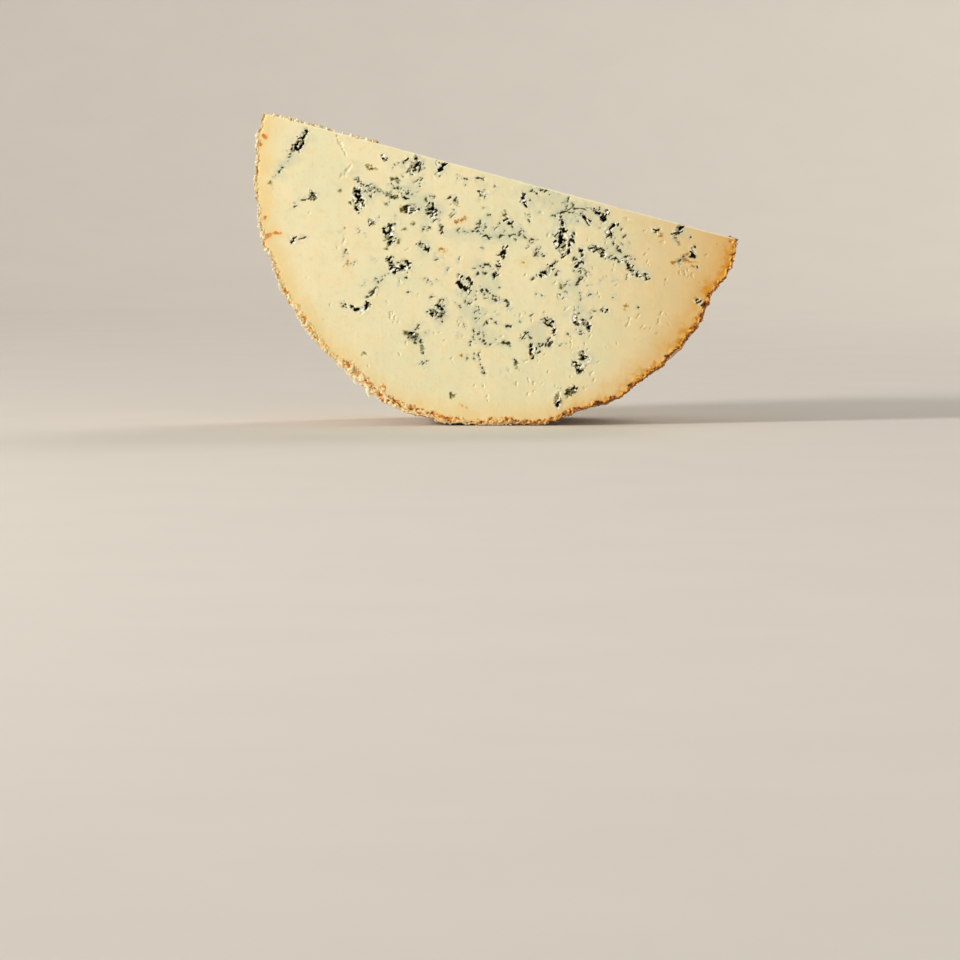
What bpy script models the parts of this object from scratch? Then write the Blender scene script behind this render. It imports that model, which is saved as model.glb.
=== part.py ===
# Half-moon wedge of blue cheese, cut from a round cheese and standing on its rind, as the photograph shows it.
# Metres, +Z up. The big front cut faces -Y, and the straight cut is on top and drops to the right.
# The origin is on the floor, in the flat spot that the wedge stands on, straight below the round cheese's axis.
import math
import random

import bmesh
import bpy
from mathutils import Vector, noise

# Driving sizes
CHEESE_RADIUS = 0.1005  # the round cheese that the wedge was cut from
THICKNESS = 0.066  # front cut to back cut
LEAN = math.radians(14.9)  # how far the straight cut drops to the right
REST_DEPTH = 0.1013  # the cheese's axis above the floor, which presses the rind's lowest stretch flat
RIND_STEPS = 144  # round the rind
DEPTH_STEPS = 20  # front to back

# How far the rind stands out of the round, in mm, at degrees round it from the right-hand corner
RIND_SWELL = (
    (0, -0.5), (6, 0.6), (14, -0.9), (25, 1.6), (39, 0.9), (48, 2.0), (55, 0.6), (68, 1.4),
    (86, 2.6), (94, 2.6), (107, 1.6), (122, 0.4), (137, -1.7), (156, -1.3), (180, -1.9),
)

# Crust relief: how deep, and how wide each kind of lump is
KNOBS = (0.0011, 0.016)
CRAGS = (0.0007, 0.005)
EDGE_CRUMBLE = (0.0007, 0.003)  # extra relief beside the cuts, where the crust breaks
CRUMBLE_REACH = 0.006

# The large hollows of the veins in the front cut, as (along the straight cut, down from it, long, wide, deep, turn):
# mm and degrees, from the middle of the straight cut. A turn of 0 lies along the straight cut, 90 points at the rind.
FRONT_HOLLOWS = (
    (-80.8, 8.6, 11.0, 4.6, 3.0, 108),
    (-53.0, 24.2, 8.6, 5.2, 4.0, 76),
    (-34.4, 4.4, 6.6, 3.8, 3.0, 66),
    (-36.2, 34.6, 7.6, 3.4, 3.4, 82),
    (-30.0, 21.6, 6.0, 3.6, 2.6, 165),
    (-22.6, 20.4, 5.4, 4.2, 3.0, 120),
    (-22.4, 35.8, 5.4, 2.8, 2.6, 20),
    (-29.6, 47.0, 8.4, 5.2, 4.0, 172),
    (-1.6, 46.0, 6.4, 5.0, 3.6, 60),
    (-10.2, 60.0, 7.4, 6.2, 4.4, 140),
    (-40.0, 66.6, 8.6, 3.2, 3.8, 160),
    (-72.8, 46.8, 2.6, 2.4, 3.0, 0),
    (12.6, 6.4, 6.4, 2.6, 2.6, 50),
    (10.0, 31.4, 8.6, 2.4, 3.0, 92),
    (28.2, 32.2, 7.2, 3.2, 3.0, 138),
    (32.4, 18.2, 12.6, 7.4, 5.0, 68),
    (43.8, 4.4, 6.0, 3.6, 3.2, 25),
    (49.0, 10.2, 5.6, 4.0, 3.0, 110),
    (46.0, 19.4, 6.6, 4.4, 3.0, 160),
    (62.6, 22.6, 13.0, 3.2, 2.8, 18),
    (76.2, 3.4, 5.2, 3.8, 3.0, 85),
    (83.4, 10.2, 4.6, 3.2, 3.2, 70),
    (92.0, 28.6, 3.4, 2.6, 2.4, 20),
    (48.0, 49.4, 7.0, 4.8, 3.6, 165),
    (35.6, 53.0, 5.0, 3.0, 3.0, 55),
    (32.0, 66.0, 5.4, 3.2, 2.8, 80),
    (51.8, 65.2, 7.0, 5.4, 3.8, 100),
    (47.0, 81.4, 5.0, 2.6, 2.8, 80),
    (51.0, 77.2, 3.6, 2.0, 2.2, 125),
)
# Hollows in the cuts that the photograph doesn't show, scattered by a rule: how many, and the range of their sizes
BACK_HOLLOWS = {"count": 22, "long": (4.0, 10.0), "wide": (2.4, 5.0), "deep": (2.4, 4.2), "seed": 11}
TOP_HOLLOWS = {"count": 12, "long": (3.6, 8.0), "wide": (2.0, 4.0), "deep": (2.0, 3.6), "seed": 5}
VEIN_CORE = 72.0  # the veins keep this near the cheese's axis, in mm
TOP_MARGIN = 8.0  # and this far from the straight cut's long edges, in mm
CLEAR_GAP = 3.0  # paste between two scattered hollows, in mm
BIG_HOLLOW = 0.0075  # hollows as long as this get finer facets
JAGS = (0.45, 1.9)  # how uneven a hollow is, and how many jags go round it

PASTE = {"colour": (0.78, 0.68, 0.40), "roughness": 0.55}
RIND = {"colour": (0.52, 0.30, 0.14), "roughness": 0.85}
MOULD = {"colour": (0.05, 0.07, 0.055), "roughness": 0.7}


def material(name, look):
    made = bpy.data.materials.new(name)
    made.use_nodes = True
    shader = made.node_tree.nodes["Principled BSDF"]
    shader.inputs["Base Color"].default_value = (*look["colour"], 1.0)
    shader.inputs["Roughness"].default_value = look["roughness"]
    shader.inputs["Metallic"].default_value = 0.0
    made.diffuse_color = (*look["colour"], 1.0)
    return made


def stood_up(along, down, back):
    """A point of the wedge (along the straight cut, down from it, back from the front cut) as it stands."""
    x = along * math.cos(LEAN) - down * math.sin(LEAN)
    z = REST_DEPTH - along * math.sin(LEAN) - down * math.cos(LEAN)
    return Vector((x, back - THICKNESS / 2, z))


def swell(degrees):
    """How far the rind stands out of the round, with a soft curve between the stated places."""
    for (low, first), (high, second) in zip(RIND_SWELL, RIND_SWELL[1:]):
        if degrees <= high:
            share = (1 - math.cos(math.pi * (degrees - low) / (high - low))) / 2
            return (first + (second - first) * share) / 1000
    return RIND_SWELL[-1][1] / 1000


def lumps(place, relief):
    depth, width = relief
    return depth * noise.fractal(place / width, 0.9, 2.0, 3)


def rind_radius(degrees, back):
    """The crust's surface: the round, its swell, knobs and crags, and breaks beside the two cuts."""
    turn = math.radians(degrees)
    base = CHEESE_RADIUS + swell(degrees)
    place = Vector((math.cos(turn) * base, math.sin(turn) * base, back))
    near_cut = max(0.0, 1 - min(back, THICKNESS - back) / CRUMBLE_REACH)
    crags = lumps(place, CRAGS) + near_cut * lumps(place + Vector((0.3, 0.1, 0.2)), EDGE_CRUMBLE)
    return base + lumps(place, KNOBS) + crags


def crust_point(step, row):
    """One point of the crust, pressed flat where it would reach below the floor."""
    degrees = 180 * step / RIND_STEPS
    back = THICKNESS * row / DEPTH_STEPS
    radius = rind_radius(degrees, back)
    along = radius * math.cos(math.radians(degrees))
    down = radius * math.sin(math.radians(degrees)) if 0 < step < RIND_STEPS else 0.0
    point = stood_up(along, down, back)
    point.z = max(point.z, 0.0)
    return point


def half_moon(paste, rind, mould):
    """The wedge before its veins: a crust band, two big cuts and the straight cut."""
    form = bmesh.new()
    crust = [
        [form.verts.new(crust_point(step, row)) for row in range(DEPTH_STEPS + 1)]
        for step in range(RIND_STEPS + 1)
    ]
    for step in range(RIND_STEPS):
        for row in range(DEPTH_STEPS):
            band = form.faces.new((
                crust[step][row], crust[step][row + 1], crust[step + 1][row + 1], crust[step + 1][row],
            ))
            band.material_index = 1
    form.faces.new([column[0] for column in crust])
    form.faces.new([column[DEPTH_STEPS] for column in reversed(crust)])
    form.faces.new(list(reversed(crust[0])) + crust[RIND_STEPS])
    bmesh.ops.recalc_face_normals(form, faces=form.faces)
    bmesh.ops.triangulate(form, faces=[face for face in form.faces if len(face.verts) == 4])
    mesh = bpy.data.meshes.new("cheese_wedge")
    form.to_mesh(mesh)
    form.free()
    for used in (paste, rind, mould):
        mesh.materials.append(used)
    wedge = bpy.data.objects.new("cheese_wedge", mesh)
    bpy.context.scene.collection.objects.link(wedge)
    return wedge


def hollow_cutter(group, name, centre, across, inward, size, turn, mould):
    """A jagged lens that cuts one hollow. across and inward are directions of the cut face that it lies in."""
    length, width, depth = (value / 1000 for value in size)
    down = inward.cross(across)
    form = bmesh.new()
    bmesh.ops.create_icosphere(form, subdivisions=2 if length > BIG_HOLLOW else 1, radius=1.0)
    along = across * math.cos(turn) + down * math.sin(turn)
    sideways = inward.cross(along)
    for vertex in form.verts:
        place = vertex.co.copy()
        jag = 1 + JAGS[0] * noise.noise(place * JAGS[1] + centre * 400)
        vertex.co = centre + jag * (
            along * place.x * length / 2 + sideways * place.y * width / 2 + inward * place.z * depth
        )
    mesh = bpy.data.meshes.new(name)
    form.to_mesh(mesh)
    form.free()
    mesh.materials.append(mould)
    cutter = bpy.data.objects.new(name, mesh)
    cutter.hide_render = True
    cutter.display_type = "WIRE"
    group.objects.link(cutter)


def scattered(rule, height, corners):
    """Hollows spread over a cut by chance, clear of each other: (across, down, long, wide, deep, turn)."""
    draw = random.Random(rule["seed"])
    found = []
    while len(found) < rule["count"]:
        across = draw.uniform(-VEIN_CORE, VEIN_CORE)
        down = draw.uniform(0.0, height)
        length = draw.uniform(*rule["long"])
        clear = all(math.hypot(across - other[0], down - other[1]) > length + CLEAR_GAP for other in found)
        if not clear or (not corners and math.hypot(across, down) > VEIN_CORE):
            continue
        size = (length, draw.uniform(*rule["wide"]), draw.uniform(*rule["deep"]))
        found.append((across, down, *size, draw.uniform(0, 180)))
    return found


def cut_hollows(wedge, mould):
    """Cuts the veins' hollows into the front, the back and the straight cut."""
    group = bpy.data.collections.new("vein_hollows")
    group.hide_render = True
    bpy.context.scene.collection.children.link(group)
    along = stood_up(1, 0, 0) - stood_up(0, 0, 0)
    down = stood_up(0, 1, 0) - stood_up(0, 0, 0)
    into = Vector((0, 1, 0))
    for number, (a, b, *size, turn) in enumerate(FRONT_HOLLOWS):
        centre = stood_up(a / 1000, b / 1000, 0)
        hollow_cutter(group, f"front_hollow_{number}", centre, along, into, size, math.radians(turn), mould)
    for number, (a, b, *size, turn) in enumerate(scattered(BACK_HOLLOWS, VEIN_CORE, False)):
        centre = stood_up(a / 1000, b / 1000, THICKNESS)
        hollow_cutter(group, f"back_hollow_{number}", centre, along, -into, size, math.radians(turn), mould)
    top_width = 1000 * THICKNESS - 2 * TOP_MARGIN
    for number, (a, back, *size, turn) in enumerate(scattered(TOP_HOLLOWS, top_width, True)):
        centre = stood_up(a / 1000, 0, (back + TOP_MARGIN) / 1000)
        hollow_cutter(group, f"top_hollow_{number}", centre, along, down, size, math.radians(turn), mould)
    cut = wedge.modifiers.new("vein hollows", "BOOLEAN")
    cut.operation = "DIFFERENCE"
    cut.operand_type = "COLLECTION"
    cut.collection = group
    cut.solver = "EXACT"
    cut.material_mode = "TRANSFER"


def main():
    for old in list(bpy.data.objects):
        bpy.data.objects.remove(old)
    paste = material("paste", PASTE)
    rind = material("rind", RIND)
    mould = material("blue mould", MOULD)
    wedge = half_moon(paste, rind, mould)
    cut_hollows(wedge, mould)


main()
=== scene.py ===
# Half-moon wedge of blue cheese, standing on its rind with the straight cut on top: the looks.
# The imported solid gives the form. This script gives it its crust, paste, veins and crumbs.
import math
import random

import bpy
import numpy as np
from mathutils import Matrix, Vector
from mathutils.bvhtree import BVHTree
from mathutils.geometry import delaunay_2d_cdt


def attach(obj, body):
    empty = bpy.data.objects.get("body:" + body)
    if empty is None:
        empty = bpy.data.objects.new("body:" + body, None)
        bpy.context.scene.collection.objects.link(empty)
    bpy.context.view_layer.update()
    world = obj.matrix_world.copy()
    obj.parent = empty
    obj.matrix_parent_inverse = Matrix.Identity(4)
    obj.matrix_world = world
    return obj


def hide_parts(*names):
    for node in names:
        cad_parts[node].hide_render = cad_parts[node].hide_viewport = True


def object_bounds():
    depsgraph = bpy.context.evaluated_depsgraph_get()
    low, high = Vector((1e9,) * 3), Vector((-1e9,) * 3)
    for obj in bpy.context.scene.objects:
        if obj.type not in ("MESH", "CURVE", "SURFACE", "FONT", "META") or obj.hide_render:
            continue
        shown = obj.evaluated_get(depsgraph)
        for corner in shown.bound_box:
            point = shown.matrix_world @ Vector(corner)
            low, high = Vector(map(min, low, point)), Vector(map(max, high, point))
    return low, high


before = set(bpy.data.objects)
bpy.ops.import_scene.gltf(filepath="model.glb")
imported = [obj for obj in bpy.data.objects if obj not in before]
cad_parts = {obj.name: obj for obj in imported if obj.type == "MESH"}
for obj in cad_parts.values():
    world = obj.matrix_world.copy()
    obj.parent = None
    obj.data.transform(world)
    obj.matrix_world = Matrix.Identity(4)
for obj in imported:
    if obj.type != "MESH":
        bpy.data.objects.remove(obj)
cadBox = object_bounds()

mm = 0.001
farAway = 9.0  # stands for nothing near, in mm or in cell widths
noSpeck = -2.0  # strength that stands for no speck of mould near

# The wedge's own measures, in mm and degrees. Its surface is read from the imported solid.
wedge = {
    "node": "cheese_wedge",
    "lean": 14.9,  # the straight cut drops this much to the right
    "axisHeight": 101.3,  # the round cheese's axis above the floor
    "halfDepth": 33.0,  # front cut to the middle
    "outside": 135.0,  # a ray from here reaches the crust from outside
}


# Uneven patterns

def cellNumber(cells, seed):
    # one fixed random number from 0 to 1 for each whole-numbered cell
    mixed = np.full(cells.shape[:-1], seed * 40503 + 977, np.int64)
    for axis, prime in zip(range(cells.shape[-1]), (73856093, 19349663, 83492791)):
        mixed = mixed ^ (cells[..., axis] * prime)
    mixed = (mixed ^ (mixed >> 13)) * 1274126177
    mixed = mixed ^ (mixed >> 16)
    return (mixed & 0xFFFFFF) / float(0xFFFFFF)


def softNoise(points, size, seed, octaves=1):
    # smooth uneven values, about -1 to 1, with lumps this many mm wide
    total, strength, full = 0.0, 1.0, 0.0
    for octave in range(octaves):
        place = points * (2 ** octave / size) + 17.3 * octave + 3.7 * seed
        low = np.floor(place).astype(np.int64)
        share = place - low
        share = share ** 3 * (share * (share * 6 - 15) + 10)
        value = 0.0
        for corner in np.ndindex(*(2,) * points.shape[1]):
            weight = np.prod(np.where(np.array(corner) == 1, share, 1 - share), axis=1)
            value = value + weight * cellNumber(low + np.array(corner), seed + 11 * octave)
        total = total + strength * (2 * value - 1)
        full += strength
        strength *= 0.5
    return 1.5 * total / full


def crumbCells(points, size, seed):
    # uneven cells like broken curd: each point's distance from its cell's middle, in cell widths, and the
    # cell's own number from 0 to 1
    place = points / size
    home = np.floor(place).astype(np.int64)
    nearest = np.full(len(points), farAway)
    number = np.zeros(len(points))
    for step in np.ndindex(3, 3):
        cell = home + np.array(step) - 1
        middle = cell + np.stack([cellNumber(cell, seed), cellNumber(cell, seed + 5)], 1)
        gap = np.hypot(*(place - middle).T)
        closer = gap < nearest
        nearest = np.where(closer, gap, nearest)
        number = np.where(closer, cellNumber(cell, seed + 9), number)
    return nearest, number


def eased(value, low, high):
    # 0 below low, 1 above high, with a soft change between
    share = np.clip((value - low) / (high - low), 0.0, 1.0)
    return share * share * (3 - 2 * share)


# Veins of the front cut: (along the straight cut, down from it, width) in mm from its middle
frontVeins = {
    "pockets": (
        ((-79.2, 3.0, 1.4), (-80.4, 6.2, 2.6), (-80.8, 9.0, 3.6), (-83.0, 12.0, 1.5)),
        ((-71.2, 26.2, 1.8), (-69.6, 26.9, 1.4)),
        ((-73.2, 47.0, 2.3),),
        ((-53.6, 20.6, 2.6), (-52.8, 23.4, 4.8), (-51.0, 24.8, 4.2), (-52.0, 28.0, 2.2)),
        ((-48.9, 17.4, 1.4), (-47.7, 18.4, 1.5), (-48.8, 19.2, 0.8)),
        ((-47.0, 4.0, 1.1), (-46.0, 5.6, 1.5)),
        ((-37.7, 3.6, 1.9),),
        ((-34.2, 1.6, 1.6), (-32.8, 3.4, 2.8), (-33.8, 5.4, 1.8), (-35.2, 7.2, 1.4), (-34.2, 9.0, 0.9)),
        ((-39.5, 19.4, 0.9), (-38.4, 19.0, 1.2)), ((-35.2, 18.0, 1.0), (-33.6, 18.3, 1.2)),
        ((-43.2, 29.8, 0.9), (-45.2, 32.0, 1.3)),
        ((-36.9, 31.0, 1.8), (-36.5, 33.6, 2.8), (-35.5, 35.6, 2.6), (-35.4, 38.0, 1.4)),
        ((-39.4, 33.2, 1.1), (-37.4, 34.6, 1.4)),
        ((-32.4, 22.2, 2.2), (-30.2, 22.9, 2.8), (-28.2, 21.6, 1.6)),
        ((-23.6, 18.6, 2.4), (-22.4, 20.8, 4.0), (-21.4, 22.8, 2.2)),
        ((-21.8, 0.8, 1.4), (-23.0, 3.4, 1.8), (-24.2, 6.2, 1.1)),
        ((-25.4, 1.2, 0.9), (-23.2, 3.2, 1.1)),
        ((-5.8, 8.5, 1.0), (-4.2, 8.9, 1.5)),
        ((7.2, 16.0, 1.6), (8.4, 16.8, 1.6)),
        ((10.6, 27.6, 1.0), (9.5, 31.2, 1.3)),
        ((9.8, 33.4, 0.9), (9.6, 37.0, 1.3), (8.9, 40.6, 0.8)),
        ((-23.8, 34.8, 1.5), (-21.8, 35.6, 2.5), (-20.2, 36.4, 1.4)),
        ((-33.6, 44.4, 1.4), (-31.4, 47.6, 3.2), (-29.2, 45.8, 1.8), (-27.2, 46.4, 3.0), (-25.9, 44.0, 1.4)),
        ((-5.4, 43.7, 1.1), (-1.0, 43.8, 1.4), (0.2, 45.0, 1.5), (0.0, 49.2, 1.1)),
        ((-3.8, 46.3, 1.8), (-2.6, 47.4, 2.2), (-1.2, 48.4, 1.3)),
        ((25.4, 35.2, 0.9), (28.1, 34.1, 2.2), (30.0, 31.6, 1.9), (30.2, 28.8, 1.0)),
        ((11.4, 4.8, 1.1), (12.1, 7.6, 1.7), (13.9, 9.2, 1.1)),
        ((28.6, 9.4, 0.9), (30.2, 13.2, 2.4), (30.8, 17.0, 4.0), (31.2, 20.6, 4.6), (33.8, 22.9, 3.0),
         (35.5, 20.3, 2.0), (34.5, 16.2, 1.7)),
        ((41.0, 3.2, 1.2), (43.4, 4.7, 2.0), (45.9, 5.8, 2.4), (46.4, 3.0, 1.2)),
        ((36.0, 5.9, 1.1), (38.0, 7.6, 1.3), (39.6, 9.2, 0.9)),
        ((50.6, 7.2, 1.5), (48.5, 9.6, 2.1), (49.4, 11.4, 2.4), (50.9, 12.6, 1.3)),
        ((66.6, 4.8, 0.9), (67.6, 5.8, 1.1)),
        ((76.8, 1.2, 2.4), (75.7, 3.4, 2.6), (75.0, 5.2, 1.6)),
        ((83.2, 8.4, 1.0), (84.4, 10.8, 1.9)),
        ((43.2, 19.0, 2.2), (46.0, 18.5, 3.4), (48.7, 19.8, 2.6), (50.4, 21.4, 1.1)),
        ((39.2, 20.8, 1.5), (40.8, 21.3, 1.5)),
        ((41.4, 22.6, 1.3), (40.9, 24.7, 1.5)),
        ((40.2, 27.4, 1.1), (43.6, 27.7, 1.0)),
        ((54.8, 20.4, 0.8), (58.5, 20.8, 1.3), (60.6, 22.5, 1.8), (63.0, 24.0, 1.5)),
        ((65.0, 24.6, 1.6), (67.1, 24.0, 2.0), (69.2, 24.6, 1.3)),
        ((91.2, 28.2, 2.0), (92.9, 29.4, 2.0)),
        ((44.4, 46.6, 1.5), (46.2, 50.2, 2.3), (48.4, 48.2, 1.7), (50.6, 49.4, 2.9), (51.6, 51.6, 1.1)),
        ((-37.6, 64.2, 3.0), (-39.2, 66.6, 2.5), (-42.2, 67.4, 1.4), (-45.6, 67.2, 0.9)),
        ((-11.8, 60.3, 2.2), (-9.0, 61.2, 3.0), (-7.0, 60.2, 1.8), (-8.4, 57.8, 1.5), (-10.8, 57.2, 1.4)),
        ((30.9, 63.2, 1.9), (31.7, 65.4, 2.6), (32.1, 67.4, 1.4)),
        ((33.6, 51.4, 1.8), (35.6, 52.4, 2.7), (37.1, 54.4, 1.4), (38.7, 56.4, 0.9)),
        ((50.8, 61.0, 2.0), (53.5, 62.6, 2.6), (50.4, 64.0, 1.4), (49.0, 65.9, 2.5), (52.5, 67.0, 2.6),
         (51.4, 69.2, 1.1)),
        ((52.3, 75.4, 1.6), (49.9, 77.6, 1.7)),
        ((46.0, 78.4, 1.2), (46.6, 81.0, 1.9), (47.1, 84.2, 1.4)),
        ((55.0, 41.0, 0.9), (56.4, 41.8, 1.1)),
        ((-17.9, 70.8, 1.4), (-16.9, 71.3, 0.9)),
    ),
    "threads": (
        ((-83.6, 13.4, 0.6), (-84.5, 17.8, 0.5), (-85.5, 20.2, 0.5), (-87.0, 24.0, 0.4)),
        ((-75.4, 33.0, 1.2),),
        ((-69.6, 27.0, 0.5), (-72.4, 29.0, 0.5), (-75.2, 30.2, 0.6), (-76.5, 33.4, 0.5)),
        ((-71.0, 45.6, 0.6), (-68.4, 44.4, 0.8)),
        ((-55.4, 16.4, 0.9), (-53.0, 17.2, 0.7), (-51.0, 18.2, 0.8), (-48.8, 17.6, 1.0)),
        ((-46.4, 18.4, 0.4), (-43.0, 19.1, 0.5), (-39.6, 19.4, 0.4)),
        ((-39.2, 15.6, 0.8), (-36.2, 15.0, 0.9), (-33.0, 14.8, 0.8)),
        ((-34.4, 16.4, 1.0), (-31.0, 16.1, 1.4)),
        ((-39.6, 11.9, 0.8), (-38.0, 12.9, 0.9)),
        ((-29.6, 9.8, 0.9), (-31.8, 11.2, 0.6)),
        ((-15.4, 4.8, 0.6), (-13.5, 5.0, 0.9), (-11.7, 5.3, 0.6)),
        ((-5.2, 4.0, 0.6), (-4.2, 7.4, 0.5), (-3.0, 10.6, 0.7)),
        ((-14.0, 13.6, 0.4), (-14.6, 16.4, 0.5), (-13.4, 19.0, 0.4), (-14.2, 21.4, 0.5)),
        ((-19.4, 20.2, 1.2),),
        ((-24.2, 28.8, 1.1), (-22.0, 28.0, 0.8)),
        ((-16.6, 25.8, 1.0), (-16.0, 28.2, 1.2)),
        ((-9.6, 26.0, 0.8), (-5.0, 25.0, 0.9), (-2.0, 24.4, 1.0), (1.0, 24.9, 0.8), (3.4, 25.4, 1.1)),
        ((4.6, 24.2, 0.4), (5.8, 24.6, 0.3), (7.4, 23.9, 1.1), (8.6, 22.8, 0.3)),
        ((9.4, 22.2, 0.5), (10.7, 22.8, 1.1), (11.8, 21.5, 0.2), (12.8, 20.9, 0.5)),
        ((13.9, 21.6, 0.8), (15.6, 21.0, 0.9), (17.0, 21.2, 0.3), (19.0, 22.1, 0.8), (22.2, 21.0, 0.6)),
        ((-2.2, 19.8, 0.7), (-2.6, 23.2, 0.8)),
        ((5.0, 19.0, 1.1),),
        ((9.0, 16.4, 0.7), (11.6, 19.2, 0.6)),
        ((1.8, 39.2, 1.0), (2.0, 40.6, 0.8)),
        ((2.2, 38.0, 0.6), (4.4, 36.8, 0.8), (6.4, 36.2, 0.6)),
        ((-7.2, 37.5, 1.1),),
        ((-29.2, 50.2, 0.6), (-25.0, 50.0, 0.7)),
        ((-18.2, 48.4, 0.9), (-14.4, 48.9, 0.7)),
        ((5.2, 46.6, 1.2),),
        ((7.4, 46.0, 0.8), (9.2, 47.4, 0.7), (11.2, 47.8, 0.8), (13.2, 48.8, 0.9)),
        ((16.4, 48.4, 0.9), (18.2, 50.8, 1.1)),
        ((23.2, 25.4, 1.1), (22.8, 27.8, 0.9)),
        ((23.8, 36.8, 1.1),),
        ((13.4, 2.9, 0.9), (15.6, 2.4, 1.1), (17.6, 4.2, 0.8)),
        ((18.4, 0.9, 0.6), (22.2, 2.1, 0.7)),
        ((24.4, 9.6, 0.9), (26.6, 9.9, 0.7)),
        ((27.6, 8.2, 0.6), (31.0, 6.8, 0.8), (33.0, 6.8, 0.7)),
        ((30.0, 5.9, 0.7), (33.4, 5.0, 0.6), (37.0, 4.6, 0.8), (41.0, 3.9, 0.7)),
        ((31.6, 49.0, 1.2),),
        ((27.0, 51.0, 1.0),),
        ((75.4, 6.0, 0.5), (78.2, 8.2, 0.5)),
        ((81.6, 4.0, 0.9),),
        ((81.0, 12.0, 0.6), (79.2, 15.8, 0.8)),
        ((87.0, 15.0, 0.8),),
        ((40.6, 29.4, 1.1), (42.6, 30.2, 0.7)),
        ((43.4, 31.6, 1.2), (42.2, 34.6, 0.9)),
        ((38.6, 34.6, 1.0), (38.0, 35.8, 0.8)),
        ((44.4, 38.0, 0.5), (45.2, 40.0, 0.2)), ((44.8, 43.0, 0.4), (44.9, 45.0, 0.2)),
        ((53.4, 15.7, 0.8), (56.0, 17.5, 1.0), (58.8, 17.9, 0.8), (61.6, 18.6, 1.1)),
        ((50.4, 20.2, 0.6), (54.8, 20.4, 0.7)),
        ((55.6, 29.2, 1.1),),
        ((68.2, 36.8, 0.9),),
        ((-38.6, 61.6, 0.8), (-38.0, 60.0, 0.7), (-36.5, 57.4, 0.6), (-35.0, 53.2, 0.5), (-33.2, 50.0, 0.6)),
        ((-45.6, 67.2, 0.7), (-47.8, 66.6, 0.5)),
        ((-13.4, 61.5, 1.1),),
        ((-15.4, 65.8, 0.7), (-16.6, 68.6, 0.9)),
        ((-14.2, 72.2, 0.8), (-12.0, 74.6, 0.6), (-11.0, 77.2, 0.4)), ((-9.0, 80.2, 0.4), (-11.4, 82.6, 0.4)),
        ((0.4, 53.6, 1.1), (2.2, 52.4, 0.9)),
        ((-1.0, 56.0, 1.0),),
        ((5.6, 53.8, 1.0),),
        ((6.4, 58.8, 1.3),),
        ((9.6, 60.1, 1.2),),
        ((12.0, 56.6, 0.9), (14.9, 58.2, 1.0)),
        ((9.0, 64.0, 0.9),),
        ((10.8, 66.4, 1.3), (13.5, 67.4, 1.2)),
        ((18.9, 64.9, 1.2), (22.2, 65.4, 1.2)),
        ((26.0, 61.0, 1.0), (27.4, 58.9, 0.9)),
        ((33.4, 61.4, 0.8), (36.5, 61.9, 1.0), (38.6, 59.7, 0.8)),
        ((10.7, 71.8, 0.8), (11.9, 73.9, 0.7)),
        ((12.9, 75.7, 0.8), (15.1, 79.2, 0.6)),
        ((26.6, 71.5, 1.4),),
        ((23.4, 74.6, 0.9),),
        ((7.1, 73.0, 0.7), (7.0, 74.2, 0.8)),
    ),
    "olive": (
        ((-88.0, 27.0, 2.0),), ((-70.2, 27.8, 2.6),), ((-60.4, 22.4, 1.4),),
        ((-52.4, 10.3, 0.8), (-48.6, 10.7, 0.9)), ((-50.4, 10.5, 1.7),),
        ((-46.0, 18.4, 0.9), (-43.0, 19.0, 0.8)), ((-41.2, 18.8, 1.6), (-38.0, 19.4, 1.9)),
        ((-36.2, 40.0, 1.8),), ((-37.6, 36.2, 1.6),), ((-41.4, 12.4, 1.8), (-38.4, 12.4, 1.2)),
        ((-33.6, 23.2, 2.2),), ((-28.2, 28.0, 1.6),), ((-31.0, 31.0, 1.3),), ((-32.6, 36.3, 1.4),),
        ((-14.0, 14.6, 1.2), (-13.2, 16.2, 0.8)), ((-14.6, 20.2, 1.1), (-14.0, 21.4, 0.8)),
        ((6.4, 14.4, 1.8),), ((36.4, 36.6, 2.4),), ((44.9, 40.0, 0.8),), ((45.0, 43.6, 0.6),),
        ((63.0, 38.0, 1.8),), ((-20.4, 71.2, 2.0), (-15.8, 72.0, 2.8)),
        ((-12.4, 74.6, 1.2), (-11.0, 78.0, 1.0)), ((4.5, 91.0, 2.4),), ((-34.0, 84.0, 1.3),),
        ((51.8, 76.4, 3.0), (49.6, 78.0, 2.6)), ((46.8, 82.0, 2.6),), ((26.4, 72.2, 1.8),),
        ((-55.0, 26.0, 1.4),), ((-4.8, 9.0, 1.8),), ((15.2, 78.2, 1.0),), ((-44.6, 31.6, 1.2),),
        ((22.8, 27.0, 1.6),),
    ),
    "orange": (
        ((-95.0, 9.0, 2.6),), ((-96.8, 12.4, 1.8), (-97.2, 15.0, 1.4)), ((-88.0, 43.4, 2.2),),
        ((-87.6, 45.6, 1.6), (-85.2, 48.8, 1.9)),
        ((-85.0, 48.0, 1.2), (-82.0, 46.4, 1.0), (-79.0, 45.4, 0.8)),
        ((-12.2, 23.0, 1.1), (-8.4, 20.4, 1.3)), ((-50.0, 49.4, 0.8), (-50.0, 51.0, 0.9)),
        ((-15.6, 35.0, 0.9), (-13.4, 35.2, 0.9)), ((19.0, 31.0, 1.4),), ((69.3, 6.1, 2.0),),
        ((75.6, 6.2, 0.6), (78.2, 8.2, 0.8)), ((76.9, 16.0, 1.6), (80.2, 14.3, 1.4), (82.3, 10.8, 1.0)),
        ((80.2, 14.3, 1.2), (86.3, 13.6, 0.8)), ((80.6, 12.4, 1.4), (79.6, 15.4, 1.8)),
        ((85.4, 15.4, 1.2),), ((94.4, 30.0, 2.6),), ((94.6, 31.0, 1.6), (92.0, 35.6, 1.4)),
        ((4.5, 74.0, 1.3),), ((9.6, 94.0, 1.0), (11.4, 94.2, 0.9)), ((31.0, 66.6, 1.8),),
        ((63.4, 37.4, 1.1),), ((-24.5, 95.8, 1.4),), ((80.2, 56.6, 1.3), (79.0, 64.0, 1.2)),
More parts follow.
